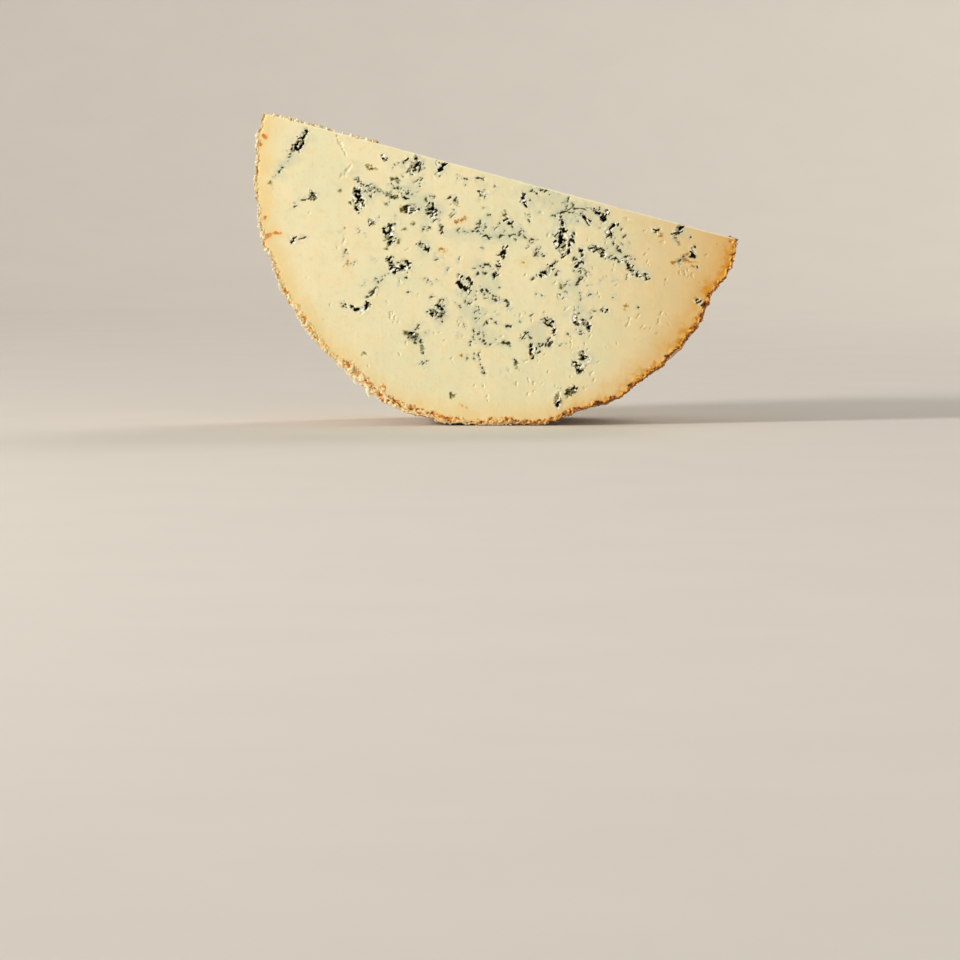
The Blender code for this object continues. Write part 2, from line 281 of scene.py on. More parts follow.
        ((85.0, 53.4, 1.2),), ((-86.6, 40.4, 1.4),),
    ),
    "pits": (
        ((-58.6, 11.0, 1.2), (-60.0, 14.4, 1.8), (-61.0, 18.0, 1.2)),
        ((-53.0, 41.4, 1.0), (-53.6, 43.4, 0.9)), ((-55.6, 44.6, 1.1),),
        ((-67.2, 1.4, 0.9), (-61.6, 8.0, 0.6)), ((-70.0, 34.5, 0.9),), ((54.5, 4.0, 2.2),),
        ((57.8, 30.8, 1.2),), ((66.0, 42.2, 0.9), (66.2, 46.0, 0.9)), ((74.0, 45.0, 1.3),),
        ((78.5, 45.4, 1.0),), ((76.0, 24.0, 1.5),), ((-28.0, 65.4, 0.9), (-26.4, 68.6, 1.0)),
        ((-26.0, 64.8, 0.8), (-25.0, 67.0, 0.8)), ((25.0, 75.0, 1.4),),
        ((0.6, 76.4, 0.7), (1.8, 78.4, 0.7)), ((80.2, 17.2, 0.5), (81.2, 19.4, 0.5)),
        ((82.0, 17.4, 0.5), (83.0, 19.8, 0.5)), ((83.8, 17.4, 0.5), (84.8, 19.6, 0.5)),
        ((85.6, 17.6, 0.5), (86.2, 19.2, 0.5)), ((-51.0, 52.0, 0.8),), ((70.6, 50.0, 1.0),),
        ((60.0, 55.4, 1.0),), ((16.0, 84.0, 1.2),), ((-4.0, 70.4, 1.0),), ((20.8, 10.6, 1.4),),
        ((71.0, 9.0, 1.0),), ((-64.0, 60.0, 0.8),), ((-20.0, 80.0, 0.9),), ((36.0, 80.4, 1.0),),
    ),
    "halos": (
        ((-79.0, 5.0, 7.0), (-82.6, 13.0, 6.0), (-86.0, 22.0, 4.0)), ((-50.0, 21.0, 9.0),),
        ((-33.0, 4.0, 7.0),), ((-31.0, 17.0, 8.0), (-22.0, 20.0, 9.0)), ((-12.0, 27.4, 5.0),),
        ((-9.0, 25.5, 5.0), (14.0, 21.4, 6.0)), ((0.0, 18.6, 4.0),), ((-24.0, 3.0, 6.0),),
        ((27.6, 17.6, 6.0), (30.0, 8.0, 6.0)), ((27.0, 31.4, 5.0),),
        ((13.0, 4.0, 9.0), (30.0, 6.0, 8.0), (46.0, 6.0, 8.0)),
        ((41.0, 22.0, 6.0), (42.0, 34.0, 6.0), (45.0, 46.0, 5.0)), ((54.0, 18.0, 7.0), (67.0, 24.0, 6.0)),
        ((47.6, 49.0, 8.0),), ((2.0, 37.0, 7.0), (9.0, 46.0, 8.0)), ((-2.0, 46.0, 8.0),),
        ((-9.0, 60.0, 8.0),), ((32.0, 60.0, 8.0), (32.0, 52.0, 6.0)), ((-29.0, 47.0, 8.0),),
        ((51.0, 64.0, 9.0),), ((2.0, 54.0, 6.0), (12.0, 66.0, 7.0)), ((-36.0, 34.0, 7.0),),
        ((76.0, 3.0, 5.0),), ((-18.0, 71.0, 6.0),), ((-58.0, 14.0, 6.0),), ((48.0, 10.0, 7.0),),
        ((-22.0, 35.0, 6.0),),
    ),
}

# How the veins and the cut look in relief, in mm
cut = {
    "pocketDepth": 1.3,  # at the wall's foot, and more towards the middle
    "pocketBowl": 1.5,
    "threadDepth": 0.4,
    "pitDepth": 0.36,
    "lip": 0.12,  # raised rims round the pockets, and round the pits
    "pitLip": 0.07,
    "wave": 0.11,  # slow unevenness of the cut, a finer one, and the marks that the knife dragged
    "ripple": 0.03,
    "drag": 0.012,
    "curd": 1.5,  # size of the broken curd in a pocket
    "shard": 0.7,  # width of the shards that a pocket's edge breaks into
    "skin": 0.35,  # the cut lies this far under the solid's face, so that its relief stays inside
    "reach": 4.5,  # how far from a stroke its distance is worked out
    "grainWay": ((0.40, 0.70), (-0.38, 0.70)),  # shards and curd lie along rising slants
}


def strokeEdge(points, strokes):
    # how far each point is from the nearest stroke's edge, in mm, below zero inside it
    nearest = np.full(len(points), farAway)
    for stroke in strokes:
        spots = np.array(stroke, float)
        if len(spots) == 1:
            spots = np.vstack([spots, spots + (0.01, 0.0, 0.0)])
        low = spots[:, :2].min(0) - spots[:, 2].max() - cut["reach"]
        high = spots[:, :2].max(0) + spots[:, 2].max() + cut["reach"]
        near = np.nonzero(((points > low) & (points < high)).all(1))[0]
        if len(near) == 0:
            continue
        close = points[near]
        best = nearest[near]
        for start, end in zip(spots, spots[1:]):
            step = end[:2] - start[:2]
            share = np.clip((close - start[:2]) @ step / (step @ step), 0.0, 1.0)
            width = start[2] + (end[2] - start[2]) * share
            gap = np.hypot(*(close - start[:2] - share[:, None] * step).T) - width / 2
            best = np.minimum(best, gap)
        nearest[near] = best
    return nearest


def shaken(points, seed, size, amount):
    # the points moved about a little, which makes a stroke's edge jagged
    across = softNoise(points, size, seed, 2)
    down = softNoise(points, size, seed + 50, 2)
    return points + amount * np.stack([across, down], 1)


def slanted(points, seed):
    # the points on axes that make patterns longer along a slant, which turns slowly from place to place
    return shaken(points, seed, 11.0, 1.8) @ np.array(cut["grainWay"])


def veinFields(points, veins, seed):
    # distances to each kind of vein, with jagged edges
    pocket = strokeEdge(shaken(points, seed, 1.6, 0.6), veins["pockets"])
    thread = strokeEdge(shaken(points, seed + 7, 1.8, 0.5), veins["threads"])
    thread = thread + 0.3 * softNoise(points, 3.0, seed + 8, 2) + 0.06
    return {
        "pocket": pocket,
        "thread": thread,
        "olive": strokeEdge(shaken(points, seed + 13, 1.6, 0.6), veins["olive"]),
        "orange": strokeEdge(shaken(points, seed + 17, 1.6, 0.5), veins["orange"]),
        "pit": strokeEdge(shaken(points, seed + 19, 1.6, 0.5), veins["pits"]),
        "halo": strokeEdge(shaken(points, seed + 23, 4.0, 1.6), veins["halos"]),
    }


def cutRelief(points, fields, strip, seed):
    # how far the cut surface lies in from the solid's face, in mm, how dark its pockets are, how strong
    # its specks of mould are, and how far the crumbs of the crust stand out
    along = slanted(points, seed + 30)
    grain = softNoise(along, cut["shard"], seed + 31, 2)
    middle, number = crumbCells(along, cut["curd"], seed + 33)
    lump = eased(number, 0.52, 0.56) * (1 - eased(middle, 0.3, 0.46))
    inside = -fields["pocket"] + 0.12
    # a pocket breaks up into shards towards its edge, and lumps of curd stand in it
    hole = eased(0.8 * grain + 0.58 * np.minimum(inside, 0.8), 0.22, 0.46) * (1 - lump)
    depth = hole * (cut["pocketDepth"] + cut["pocketBowl"] * np.clip(inside, 0, 2.0))
    within = eased(inside, -0.1, 0.4)
    depth = depth + within * (1 - hole) * (0.15 + 0.3 * softNoise(points, 0.9, seed + 4))
    # the curd that stands between the holes is partly uncovered and pale, with a painted highlight where it
    # catches the light
    paleLitCurd = within * (1 - hole) * eased(softNoise(points, 1.4, seed + 9, 2), -0.25, 0.25)
    lip = eased(inside, -0.9, -0.2) * (1 - within)
    speck = 1.1 * softNoise(along, 0.5, seed + 41, 2) + 1.15 * np.clip(0.04 - fields["thread"], -1.8, 0.36)
    spot = eased(speck, 0.25, 0.6)
    pit = eased(-fields["pit"], -0.35, 0.3) * eased(grain, -0.5, 0.3)
    pitLip = eased(-fields["pit"], -0.8, -0.35) * (1 - pit)
    surface = cut["wave"] * softNoise(points, 13.0, seed + 5, 2)
    surface = surface + cut["ripple"] * softNoise(points, 4.4, seed + 6)
    surface = surface + cut["drag"] * softNoise(points / (1.6, 22.0), 1.0, seed + 12)
    crumb = softNoise(points, 1.1, seed + 14, 2) + 0.3 * softNoise(points, 2.6, seed + 15)
    crumbly = (1 - eased(strip, 0.7, 1.25)) * (0.12 - 0.4 * crumb)
    sink = cut["skin"] + surface + crumbly - cut["lip"] * lip - cut["pitLip"] * pitLip
    sink = sink + depth + cut["threadDepth"] * spot * (1 - within) + cut["pitDepth"] * pit * (1 - within)
    return np.maximum(sink, 0.0), hole - 0.8 * paleLitCurd, np.maximum(speck, noSpeck), crumb


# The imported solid, asked for its surface by rays from outside
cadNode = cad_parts[wedge["node"]]
cadTree = BVHTree.FromPolygons(
    [vertex.co.copy() for vertex in cadNode.data.vertices],
    [tuple(face.vertices) for face in cadNode.data.polygons],
)
lean = math.radians(wedge["lean"])
alongWay = np.array([math.cos(lean), 0.0, -math.sin(lean)])
downWay = np.array([-math.sin(lean), 0.0, -math.cos(lean)])


def stoodUp(along, down, depth):
    # points of the wedge in mm (along the straight cut, down from it, back from the middle) as they stand
    place = np.multiply.outer(along, alongWay) + np.multiply.outer(down, downWay)
    place[..., 1] = depth
    place[..., 2] += wedge["axisHeight"]
    return place


def rayGap(start, way):
    # how far a ray goes before it meets the solid, in mm
    hit = cadTree.ray_cast(Vector(start * mm), Vector(way))
    return hit[3] / mm if hit[3] is not None else None


crust = {
    "steps": 660,  # round the rind, for its edges
    "rows": 30,  # front to back
    "edgeShare": 0.4,  # how much the rows crowd towards the cuts
    "spacing": 0.58,  # of the net beside the cuts, and twice this between them
    "unrolled": 100.0,  # mm round the rind for one radian
    "sag": 0.28,  # the crust lies this far inside the solid, so that its relief stays inside
    "wrinkle": 0.3,  # heights of its relief, and depths of its creases and pits
    "crag": 0.26,
    "crease": 0.42,
    "pit": 0.6,
}


def crustGrid():
    # the solid's radius in mm: one row of numbers for each step round the rind
    turns = np.linspace(0.0, math.pi, crust["steps"] + 1)
    even = np.linspace(-1.0, 1.0, crust["rows"] + 1)
    crowded = np.sin(even * math.pi / 2)
    depths = wedge["halfDepth"] * ((1 - crust["edgeShare"]) * even + crust["edgeShare"] * crowded)
    radii = np.zeros((len(turns), len(depths)))
    tiny = math.radians(0.25)
    for i, turn in enumerate(np.clip(turns, tiny, math.pi - tiny)):
        way = math.cos(turn) * alongWay + math.sin(turn) * downWay
        for j, depth in enumerate(np.clip(depths, -wedge["halfDepth"] + 0.1, wedge["halfDepth"] - 0.1)):
            start = way * wedge["outside"] + np.array([0.0, depth, wedge["axisHeight"]])
            radii[i, j] = wedge["outside"] - rayGap(start, -way)
    return turns, depths, radii


turns, depths, radii = crustGrid()
print("crust read from the solid:", radii.min().round(2), "to", radii.max().round(2), "mm")


def solidRadius(turn, depth):
    # the solid's radius between the grid's numbers
    i = np.clip(turn / math.pi * crust["steps"], 0, crust["steps"] - 0.001)
    j = np.clip(np.interp(depth, depths, np.arange(len(depths))), 0, len(depths) - 1.001)
    low, near = i.astype(int), j.astype(int)
    down, back = i - low, j - near
    front = radii[low, near] * (1 - down) + radii[low + 1, near] * down
    behind = radii[low, near + 1] * (1 - down) + radii[low + 1, near + 1] * down
    return front * (1 - back) + behind * back


def crustRelief(flat):
    # wrinkles and creases that run round the rind, crags, small pits, and broken edges beside the cuts
    wrinkle = softNoise(flat / (4.0, 1.0), 2.2, 61, 2)
    crease = 1 - eased(np.abs(softNoise(flat / (8.0, 1.0), 4.4, 66, 2)), 0.03, 0.26)
    crag = softNoise(flat, 2.8, 62, 3)
    pit = eased(softNoise(flat / (1.7, 1.0), 2.4, 63, 2), 0.62, 0.95)
    height = crust["wrinkle"] * wrinkle + crust["crag"] * crag - crust["crease"] * crease - crust["pit"] * pit
    edge = 1 - eased(wedge["halfDepth"] - np.abs(flat[:, 1]), 0.3, 1.6)
    height = height * (1 - 0.7 * edge)
    chips = np.minimum(softNoise(flat, 3.1, 65) + 0.15, 0.0)
    return height + edge * (0.26 * softNoise(flat, 0.75, 64, 2) + 0.5 * chips)


def roughRadius(turn, depth):
    # the crust's radius with its relief, and the relief alone
    height = crustRelief(np.stack([turn * crust["unrolled"], depth], 1))
    return solidRadius(turn, depth) + np.clip(height - crust["sag"], -1.7, 0.3), height


frontRadii = roughRadius(turns, np.full(len(turns), depths[0]))[0]


def crustRadius(turn, depth):
    # on the left the crust doesn't bulge past the front cut's edge
    radius, height = roughRadius(turn, depth)
    bulge = eased(turn, math.radians(60), math.radians(115))
    slack = (1 - bulge) * 1.5 + 0.02 * np.maximum(0.0, depth - depths[0])
    return np.minimum(radius, np.interp(turn, turns, frontRadii) + slack), height


crustRadii = crustRadius(np.repeat(turns, len(depths)), np.tile(depths, len(turns)))[0].reshape(radii.shape)


# How broad the crumbly crust shows in the cuts, in mm, at these turns in degrees from the right
crustStrip = {
    "turns": (0, 12, 40, 60, 85, 96, 100, 112, 118, 130, 150, 180),
    "widths": (1.6, 1.4, 2.1, 1.9, 2.2, 2.8, 3.3, 3.3, 2.6, 2.1, 1.4, 1.1),
}


def stripShare(turn, rindDepth):
    # 0 at the rind's outside and 1 at the inner border of its crumbly strip
    width = np.interp(np.degrees(turn), crustStrip["turns"], crustStrip["widths"])
    place = np.stack([turn * crust["unrolled"], np.zeros(len(turn))], 1)
    return rindDepth / (width * (1 + 0.35 * softNoise(place, 5.0, 75, 2)))


def rindAt(points, row):
    # the crust's radius in the direction of each point of a cut, along this row of the grid
    turn = np.arctan2(points[:, 1], points[:, 0])
    return np.interp(turn, turns, crustRadii[:, row])


# One mesh is put together from the crust and the three cuts, which share their edges' points
parts = {"points": [], "faces": [], "slots": [], "fields": []}
fieldNames = ("dark", "speck", "pocket", "olive", "orange", "halo", "rindDepth", "crag", "strip")
pasteSlot, rindSlot = 0, 1


def addPoints(places, **fields):
    first = sum(len(block) for block in parts["points"])
    parts["points"].append(places)
    block = np.zeros((len(places), len(fieldNames)))
    block[:, fieldNames.index("speck")] = noSpeck
    block[:, fieldNames.index("pocket"):fieldNames.index("rindDepth")] = farAway
    for name, values in fields.items():
        block[:, fieldNames.index(name)] = values
    parts["fields"].append(block)
    return first + np.arange(len(places))


def addFaces(faces, slot):
    parts["faces"].append(faces)
    parts["slots"].append(np.full(len(faces), slot))


def nestedPoints(low, high, spacing, need):
    # a triangular net of points: need(points) is 2 where it has this spacing, 1 or 0 where it is doubled
    # once or twice, and below 0 where there are none
    rise = spacing * math.sqrt(3) / 2
    rows = np.arange(int((high[1] - low[1]) / rise) + 1)
    columns = np.arange(-len(rows), int((high[0] - low[0]) / spacing) + 2)
    column, row = np.meshgrid(columns, rows)
    column, row = column.ravel(), row.ravel()
    points = np.stack([low[0] + spacing * (column + row / 2), low[1] + rise * row], 1)
    within = ((points >= low) & (points <= high)).all(1)
    points, column, row = points[within], column[within], row[within]
    coarse = (column % 4 == 0) & (row % 4 == 0)
    medium = (column % 2 == 0) & (row % 2 == 0)
    level = need(points)
    keep = (coarse & (level >= 0)) | (medium & (level >= 1)) | (level >= 2)
    shift = np.random.default_rng(4).uniform(-0.12, 0.12, points.shape) * spacing
    return (points + shift)[keep]


def filled(border, inner):
    # triangles over the border's points and the inner ones, as numbers into both lists
    every = [Vector(point) for point in np.vstack([border, inner])]
    count = len(border)
    ring = [(i, (i + 1) % count) for i in range(count)]
    result = delaunay_2d_cdt(every, ring, [], 1, 1e-6)
    source = [origins[0] for origins in result[3]]
    return np.array([[source[i] for i in face] for face in result[2]])


def fineness(fields, strip):
    # how fine the net has to be: 2 in the veins and the strip of crust, 1 round them, 0 elsewhere
    fine = (fields["pocket"] < 0.35) | (fields["thread"] < 0.1) | (np.abs(fields["pit"]) < 0.2)
    fine |= strip < 1.0
    medium = (fields["pocket"] < 1.3) | (fields["thread"] < 0.8) | (fields["pit"] < 0.9)
    medium |= (fields["olive"] < 0.2) | (fields["orange"] < 0.2) | (strip < 1.8)
    return np.where(fine, 2, np.where(medium, 1, 0))


def crustBand():
    # the crust unrolled flat: a ring of points along its four edges, and a net of points between them
    last, end = len(turns) - 1, len(depths) - 1
    ring = [(i, 0) for i in range(last)] + [(last, j) for j in range(end)]
    ring = np.array(ring + [(i, end) for i in range(last, 0, -1)] + [(0, j) for j in range(end, 0, -1)])
    border = np.stack([turns[ring[:, 0]] * crust["unrolled"], depths[ring[:, 1]]], 1)
    length = math.pi * crust["unrolled"]
    corner = wedge["halfDepth"] - cut["skin"]

    def added(flat):
        turn = flat[:, 0] / crust["unrolled"]
        radius, height = crustRadius(turn, flat[:, 1])
        places = stoodUp(radius * np.cos(turn), radius * np.sin(turn), np.clip(flat[:, 1], -corner, corner))
        return addPoints(places, crag=height)

    def need(points):
        near = wedge["halfDepth"] - np.abs(points[:, 1])
        ends = np.minimum(points[:, 0], length - points[:, 0])
        return np.where((near < 0.4) | (ends < 0.4), -1, np.where(near < 1.5, 2, 1))

    inner = nestedPoints(
        np.array([0.0, -wedge["halfDepth"]]), np.array([length, wedge["halfDepth"]]), crust["spacing"], need,
    )
    numbers = np.concatenate([added(border), added(inner)])
    grid = np.full(radii.shape, -1)
    grid[ring[:, 0], ring[:, 1]] = numbers[:len(ring)]
    return grid, numbers[filled(border, inner)]


grid, crustFaces = crustBand()
addFaces(crustFaces, rindSlot)


endStrip = 2.4  # mm of crumbly crust at the straight cut's two ends
netReach = 104.0  # mm from the middle, past the rind on every side
netSpacing = {"front": 0.27, "frontEdge": 0.5, "back": 0.54, "backEdge": 1.2, "top": 0.54}


def cutEdge(row, spacing):
    # the straight cut's long edge at the front or the back, from right to left, a little worn
    right, left = crustRadii[0, row], -crustRadii[-1, row]
    count = int((right - left) / spacing)
    along = np.linspace(right, left, count + 1)[1:-1]
    line = np.stack([along, np.full_like(along, float(row))], 1)
    worn = 0.22 + 0.1 * softNoise(line, 1.4, 71, 2) - 0.3 * np.minimum(softNoise(line, 4.0, 72) + 0.7, 0.0)
    side = -1.0 if row == 0 else 1.0
    places = stoodUp(along, np.maximum(worn, 0.05), side * (wedge["halfDepth"] - cut["skin"] - 0.05))
    fromEnd = crust["unrolled"] - np.abs(along)
    return addPoints(places, rindDepth=fromEnd, strip=fromEnd / endStrip), along


def addCutPoints(places, fields, **others):
    # a cut's own points, with their distances to the veins
    shown = {name: fields[name] for name in ("pocket", "olive", "orange", "halo")}
    return addPoints(places, **shown, **others)


def roundCut(row, edge, edgeAlong, veins, spacing, seed):
    # the front or the back cut: a half disc with its veins
    rim = grid[:, row]
    rimFlat = np.stack([crustRadii[:, row] * np.cos(turns), crustRadii[:, row] * np.sin(turns)], 1)
    rimFlat[[0, -1], 1] = 0.0
    edgeFlat = np.stack([edgeAlong[::-1], np.zeros(len(edgeAlong))], 1)
    border = np.vstack([rimFlat, edgeFlat])
    borderNumbers = np.concatenate([rim, edge[::-1]])

    def measured(points):
        rindDepth = rindAt(points, row) - np.hypot(*points.T)
        return rindDepth, stripShare(np.arctan2(points[:, 1], points[:, 0]), rindDepth)

    def need(points):
        rindDepth, strip = measured(points)
        wanted = fineness(veinFields(points, veins, seed), strip)
        return np.where((rindDepth > 0.35) & (points[:, 1] > 0.35), wanted, -1)

    inner = nestedPoints(np.array([-netReach, 0.3]), np.array([netReach, 105.0]), spacing, need)
    rindDepth, strip = measured(inner)
    fields = veinFields(inner, veins, seed)
    sink, dark, speck, crag = cutRelief(inner, fields, strip, seed)
    # the relief fades out at the border, whose points are shared
    near = np.minimum(rindDepth, inner[:, 1])
    sink = cut["skin"] + (sink - cut["skin"]) * eased(near, 0.0, 0.6)
    side = -1.0 if row == 0 else 1.0
    places = stoodUp(inner[:, 0], inner[:, 1], side * (wedge["halfDepth"] - sink))
    own = addCutPoints(places, fields, dark=dark, speck=speck, rindDepth=rindDepth, crag=crag, strip=strip)
    return np.concatenate([borderNumbers, own])[filled(border, inner)]


def peppered(veins, amount, seed, centre, reach):
    # small specks of mould within an oval, most of them close to the other veins
    draw = np.random.default_rng(seed)
    spots = np.array(centre) + np.array(reach) * draw.uniform(-1, 1, (8 * amount, 2))
    share = np.where(strokeEdge(spots, veins["halos"]) < 0.5, 0.6, 0.12)
    wanted = draw.uniform(0, 1, len(spots)) < share
    wanted &= np.hypot(*((spots - centre) / reach).T) < 1
    specks = []
    for place in spots[wanted][:amount]:
        heading = draw.normal(-1.0, 0.7)
        step = draw.uniform(0.5, 2.3) * np.array([math.cos(heading), math.sin(heading)])
        width = draw.uniform(0.22, 0.7)
        specks.append(((*place, width), (*(place + step), 0.7 * width)))
    return {**veins, "threads": (*veins["threads"], *specks)}


def pitted(veins, amount, seed, width):
    # tiny pits and knife marks by chance all over a cut, more of them to the right and low down
    draw = np.random.default_rng(seed)
    marks = []
    while len(marks) < amount:
        place = np.array([draw.uniform(-96, 96), draw.uniform(2, width)])
        if np.hypot(*place) > 93 or draw.uniform() < 0.75 - 0.55 * place[0] / 60 - place[1] / 130:
            continue
        step = draw.uniform(0.2, 1.3) * np.array([draw.uniform(-0.6, 0.6), 1.0])
        broad = draw.uniform(0.35, 0.8)
        marks.append(((*place, broad), (*(place + step), 0.7 * broad)))
    return {**veins, "pits": (*veins["pits"], *marks)}


def solidPockets(rule):
    # the solid's hollows in the back or the straight cut, drawn again by the rule that the solid was made by
    draw = random.Random(rule["seed"])
    found = []
    while len(found) < rule["count"]:
        across = draw.uniform(-veinCore["reach"], veinCore["reach"])
        down = draw.uniform(0.0, rule["height"])
        length = draw.uniform(*rule["long"])
        clear = all(math.hypot(across - one[0], down - one[1]) > length + veinCore["gap"] for one in found)
        if not clear or (rule["round"] and math.hypot(across, down) > veinCore["reach"]):
            continue
        wide = draw.uniform(*rule["wide"])
        draw.uniform(*rule["deep"])  # only the solid uses the depth
        found.append((across, down, length, wide, draw.uniform(0, 180)))
    return [(across, down + rule["margin"], *shape) for across, down, *shape in found]


veinCore = {"reach": 72.0, "gap": 3.0}
backRule = {
    "count": 22, "long": (4.0, 10.0), "wide": (2.4, 5.0), "deep": (2.4, 4.2), "seed": 11,
    "height": 72.0, "round": True, "margin": 0.0,
}
topRule = {
    "count": 12, "long": (3.6, 8.0), "wide": (2.0, 4.0), "deep": (2.0, 3.6), "seed": 5,
    "height": 50.0, "round": False, "margin": 8.0,
}


def wanderingVeins(rule, seed, low, high, counts):
    # veins for a cut that the photograph doesn't show: its hollows, and strokes drawn by chance all over it
    draw = np.random.default_rng(seed)
    veins = {"pockets": [], "threads": [], "olive": [], "orange": [], "pits": [], "halos": []}
    for a, b, length, wide, turn in solidPockets(rule):
        way = np.array([math.cos(math.radians(turn)), math.sin(math.radians(turn))])
        bend = 0.12 * length * np.array([-way[1], way[0]]) * draw.normal()
        middle = np.array([a, b])
        first, last = middle - 0.34 * length * way, middle + 0.34 * length * way
        veins["pockets"].append(((*first, 0.5 * wide), (*(middle + bend), 0.9 * wide), (*last, 0.4 * wide)))
        veins["halos"].append(((*first, 6.0), (*last, 6.0)))
        tail = last + length * 0.7 * way + draw.normal(0, 1.5, 2)
        veins["threads"].append(((*last, 0.9), (*tail, 0.5)))
    # each kind's points to a stroke, and its narrowest and broadest width
    strokes = {
        "pockets": (2, 1.2, 2.4), "threads": (5, 0.6, 1.1), "olive": (1, 1.0, 2.4),
        "orange": (1, 0.8, 1.8), "pits": (2, 0.6, 1.3), "halos": (2, 4.0, 8.0),
    }
    for kind, amount in counts.items():
        steps, narrow, broad = strokes[kind]
        for _ in range(amount):
            place = draw.uniform(low, high)
            while rule["round"] and np.hypot(*place) > veinCore["reach"]:
                place = draw.uniform(low, high)
            heading = draw.uniform(0, 2 * math.pi)
            width = draw.uniform(narrow, broad)
            stroke = []
            for _ in range(steps):
                stroke.append((*place, width * draw.uniform(0.6, 1.2)))
                heading += draw.normal(0, 0.6)
                place = place + draw.uniform(1.2, 2.6) * np.array([math.cos(heading), math.sin(heading)])
            veins[kind].append(tuple(stroke))
    return veins


print("front cut")
frontEdge, frontAlong = cutEdge(0, netSpacing["frontEdge"])
backEdge, backAlong = cutEdge(-1, netSpacing["backEdge"])
frontPeppered = pitted(peppered(frontVeins, 240, 12, (4.0, 34.0), (62.0, 44.0)), 150, 13, 92.0)
addFaces(roundCut(0, frontEdge, frontAlong, frontPeppered, netSpacing["front"], 100), pasteSlot)

print("back cut")
backCounts = {"pockets": 26, "threads": 44, "olive": 16, "orange": 7, "pits": 14, "halos": 12}
backVeins = wanderingVeins(backRule, 21, (-72.0, 3.0), (72.0, 72.0), backCounts)
backVeins = peppered(backVeins, 150, 22, (0.0, 36.0), (66.0, 40.0))
backVeins = pitted(backVeins, 40, 23, 92.0)
addFaces(roundCut(-1, backEdge, backAlong, backVeins, netSpacing["back"], 200), pasteSlot)


def straightCut(veins, spacing, seed):
    # the cut on top: a long rectangle between the front edge, the back edge and the rind's two ends
    right, left = grid[0, 1:-1], grid[-1, 1:-1]
    half = wedge["halfDepth"] - cut["skin"]
    innerDepths = depths[1:-1]
    corners = {
        "frontRight": (crustRadii[0, 0], -half), "frontLeft": (-crustRadii[-1, 0], -half),
        "backLeft": (-crustRadii[-1, -1], half), "backRight": (crustRadii[0, -1], half),
    }
    border = np.vstack([
        corners["frontRight"], np.stack([frontAlong, np.full(len(frontAlong), -half)], 1),
        corners["frontLeft"], np.stack([-crustRadii[-1, 1:-1], innerDepths], 1),
        corners["backLeft"], np.stack([backAlong[::-1], np.full(len(backAlong), half)], 1),
        corners["backRight"], np.stack([crustRadii[0, 1:-1], innerDepths], 1)[::-1],
    ])
    numbers = np.concatenate([
        grid[0, :1], frontEdge, grid[-1, :1], left, grid[-1, -1:], backEdge[::-1], grid[0, -1:], right[::-1],
    ])

    def ends(points):
        # how far each point is from the rind at the nearer end
        toRight = np.interp(points[:, 1], depths, crustRadii[0]) - points[:, 0]
        toLeft = points[:, 0] + np.interp(points[:, 1], depths, crustRadii[-1])
        return np.minimum(toRight, toLeft)

    def need(points):
        rindDepth = ends(points)
        shifted = points + (0.0, half)
        wanted = fineness(veinFields(shifted, veins, seed), rindDepth / endStrip)
        return np.where((rindDepth > 0.6) & (np.abs(points[:, 1]) < half - 0.5), wanted, -1)

    depth = wedge["halfDepth"]
    inner = nestedPoints(np.array([-netReach, -depth]), np.array([netReach, depth]), spacing, need)
    rindDepth = ends(inner)
    shifted = inner + (0.0, half)
    fields = veinFields(shifted, veins, seed)
    strip = rindDepth / endStrip
    sink, dark, speck, crag = cutRelief(shifted, fields, strip, seed)
    near = np.minimum(rindDepth, half - np.abs(inner[:, 1]))
    sink = sink * eased(near, 0.0, 0.9) + 0.1
    places = stoodUp(inner[:, 0], sink, inner[:, 1])
    own = addCutPoints(places, fields, dark=dark, speck=speck, rindDepth=rindDepth, crag=crag, strip=strip)
    return np.concatenate([numbers, own])[filled(border, inner)]


print("straight cut")
topCounts = {"pockets": 20, "threads": 34, "olive": 14, "orange": 6, "pits": 12, "halos": 10}
topVeins = wanderingVeins(topRule, 33, (-80.0, 5.0), (80.0, 61.0), topCounts)
topVeins = peppered(topVeins, 120, 34, (0.0, 33.0), (76.0, 30.0))
topVeins = pitted(topVeins, 24, 35, 62.0)
addFaces(straightCut(topVeins, netSpacing["top"], 300), pasteSlot)


def inBox(points, unit=mm):
    # the points moved inside the solid's box, in units of this many metres
    low, high = (np.array(corner) / unit for corner in cadBox)
    slack = 0.01 * mm / unit
    return np.clip(points, low + slack, high - slack)


def dressed(name, mesh):
    # an object of this mesh, which rides on the one body in the solid's place
    made = bpy.data.objects.new(name, mesh)
    bpy.context.scene.collection.objects.link(made)
    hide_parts(wedge["node"])
    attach(made, "root")
    return made


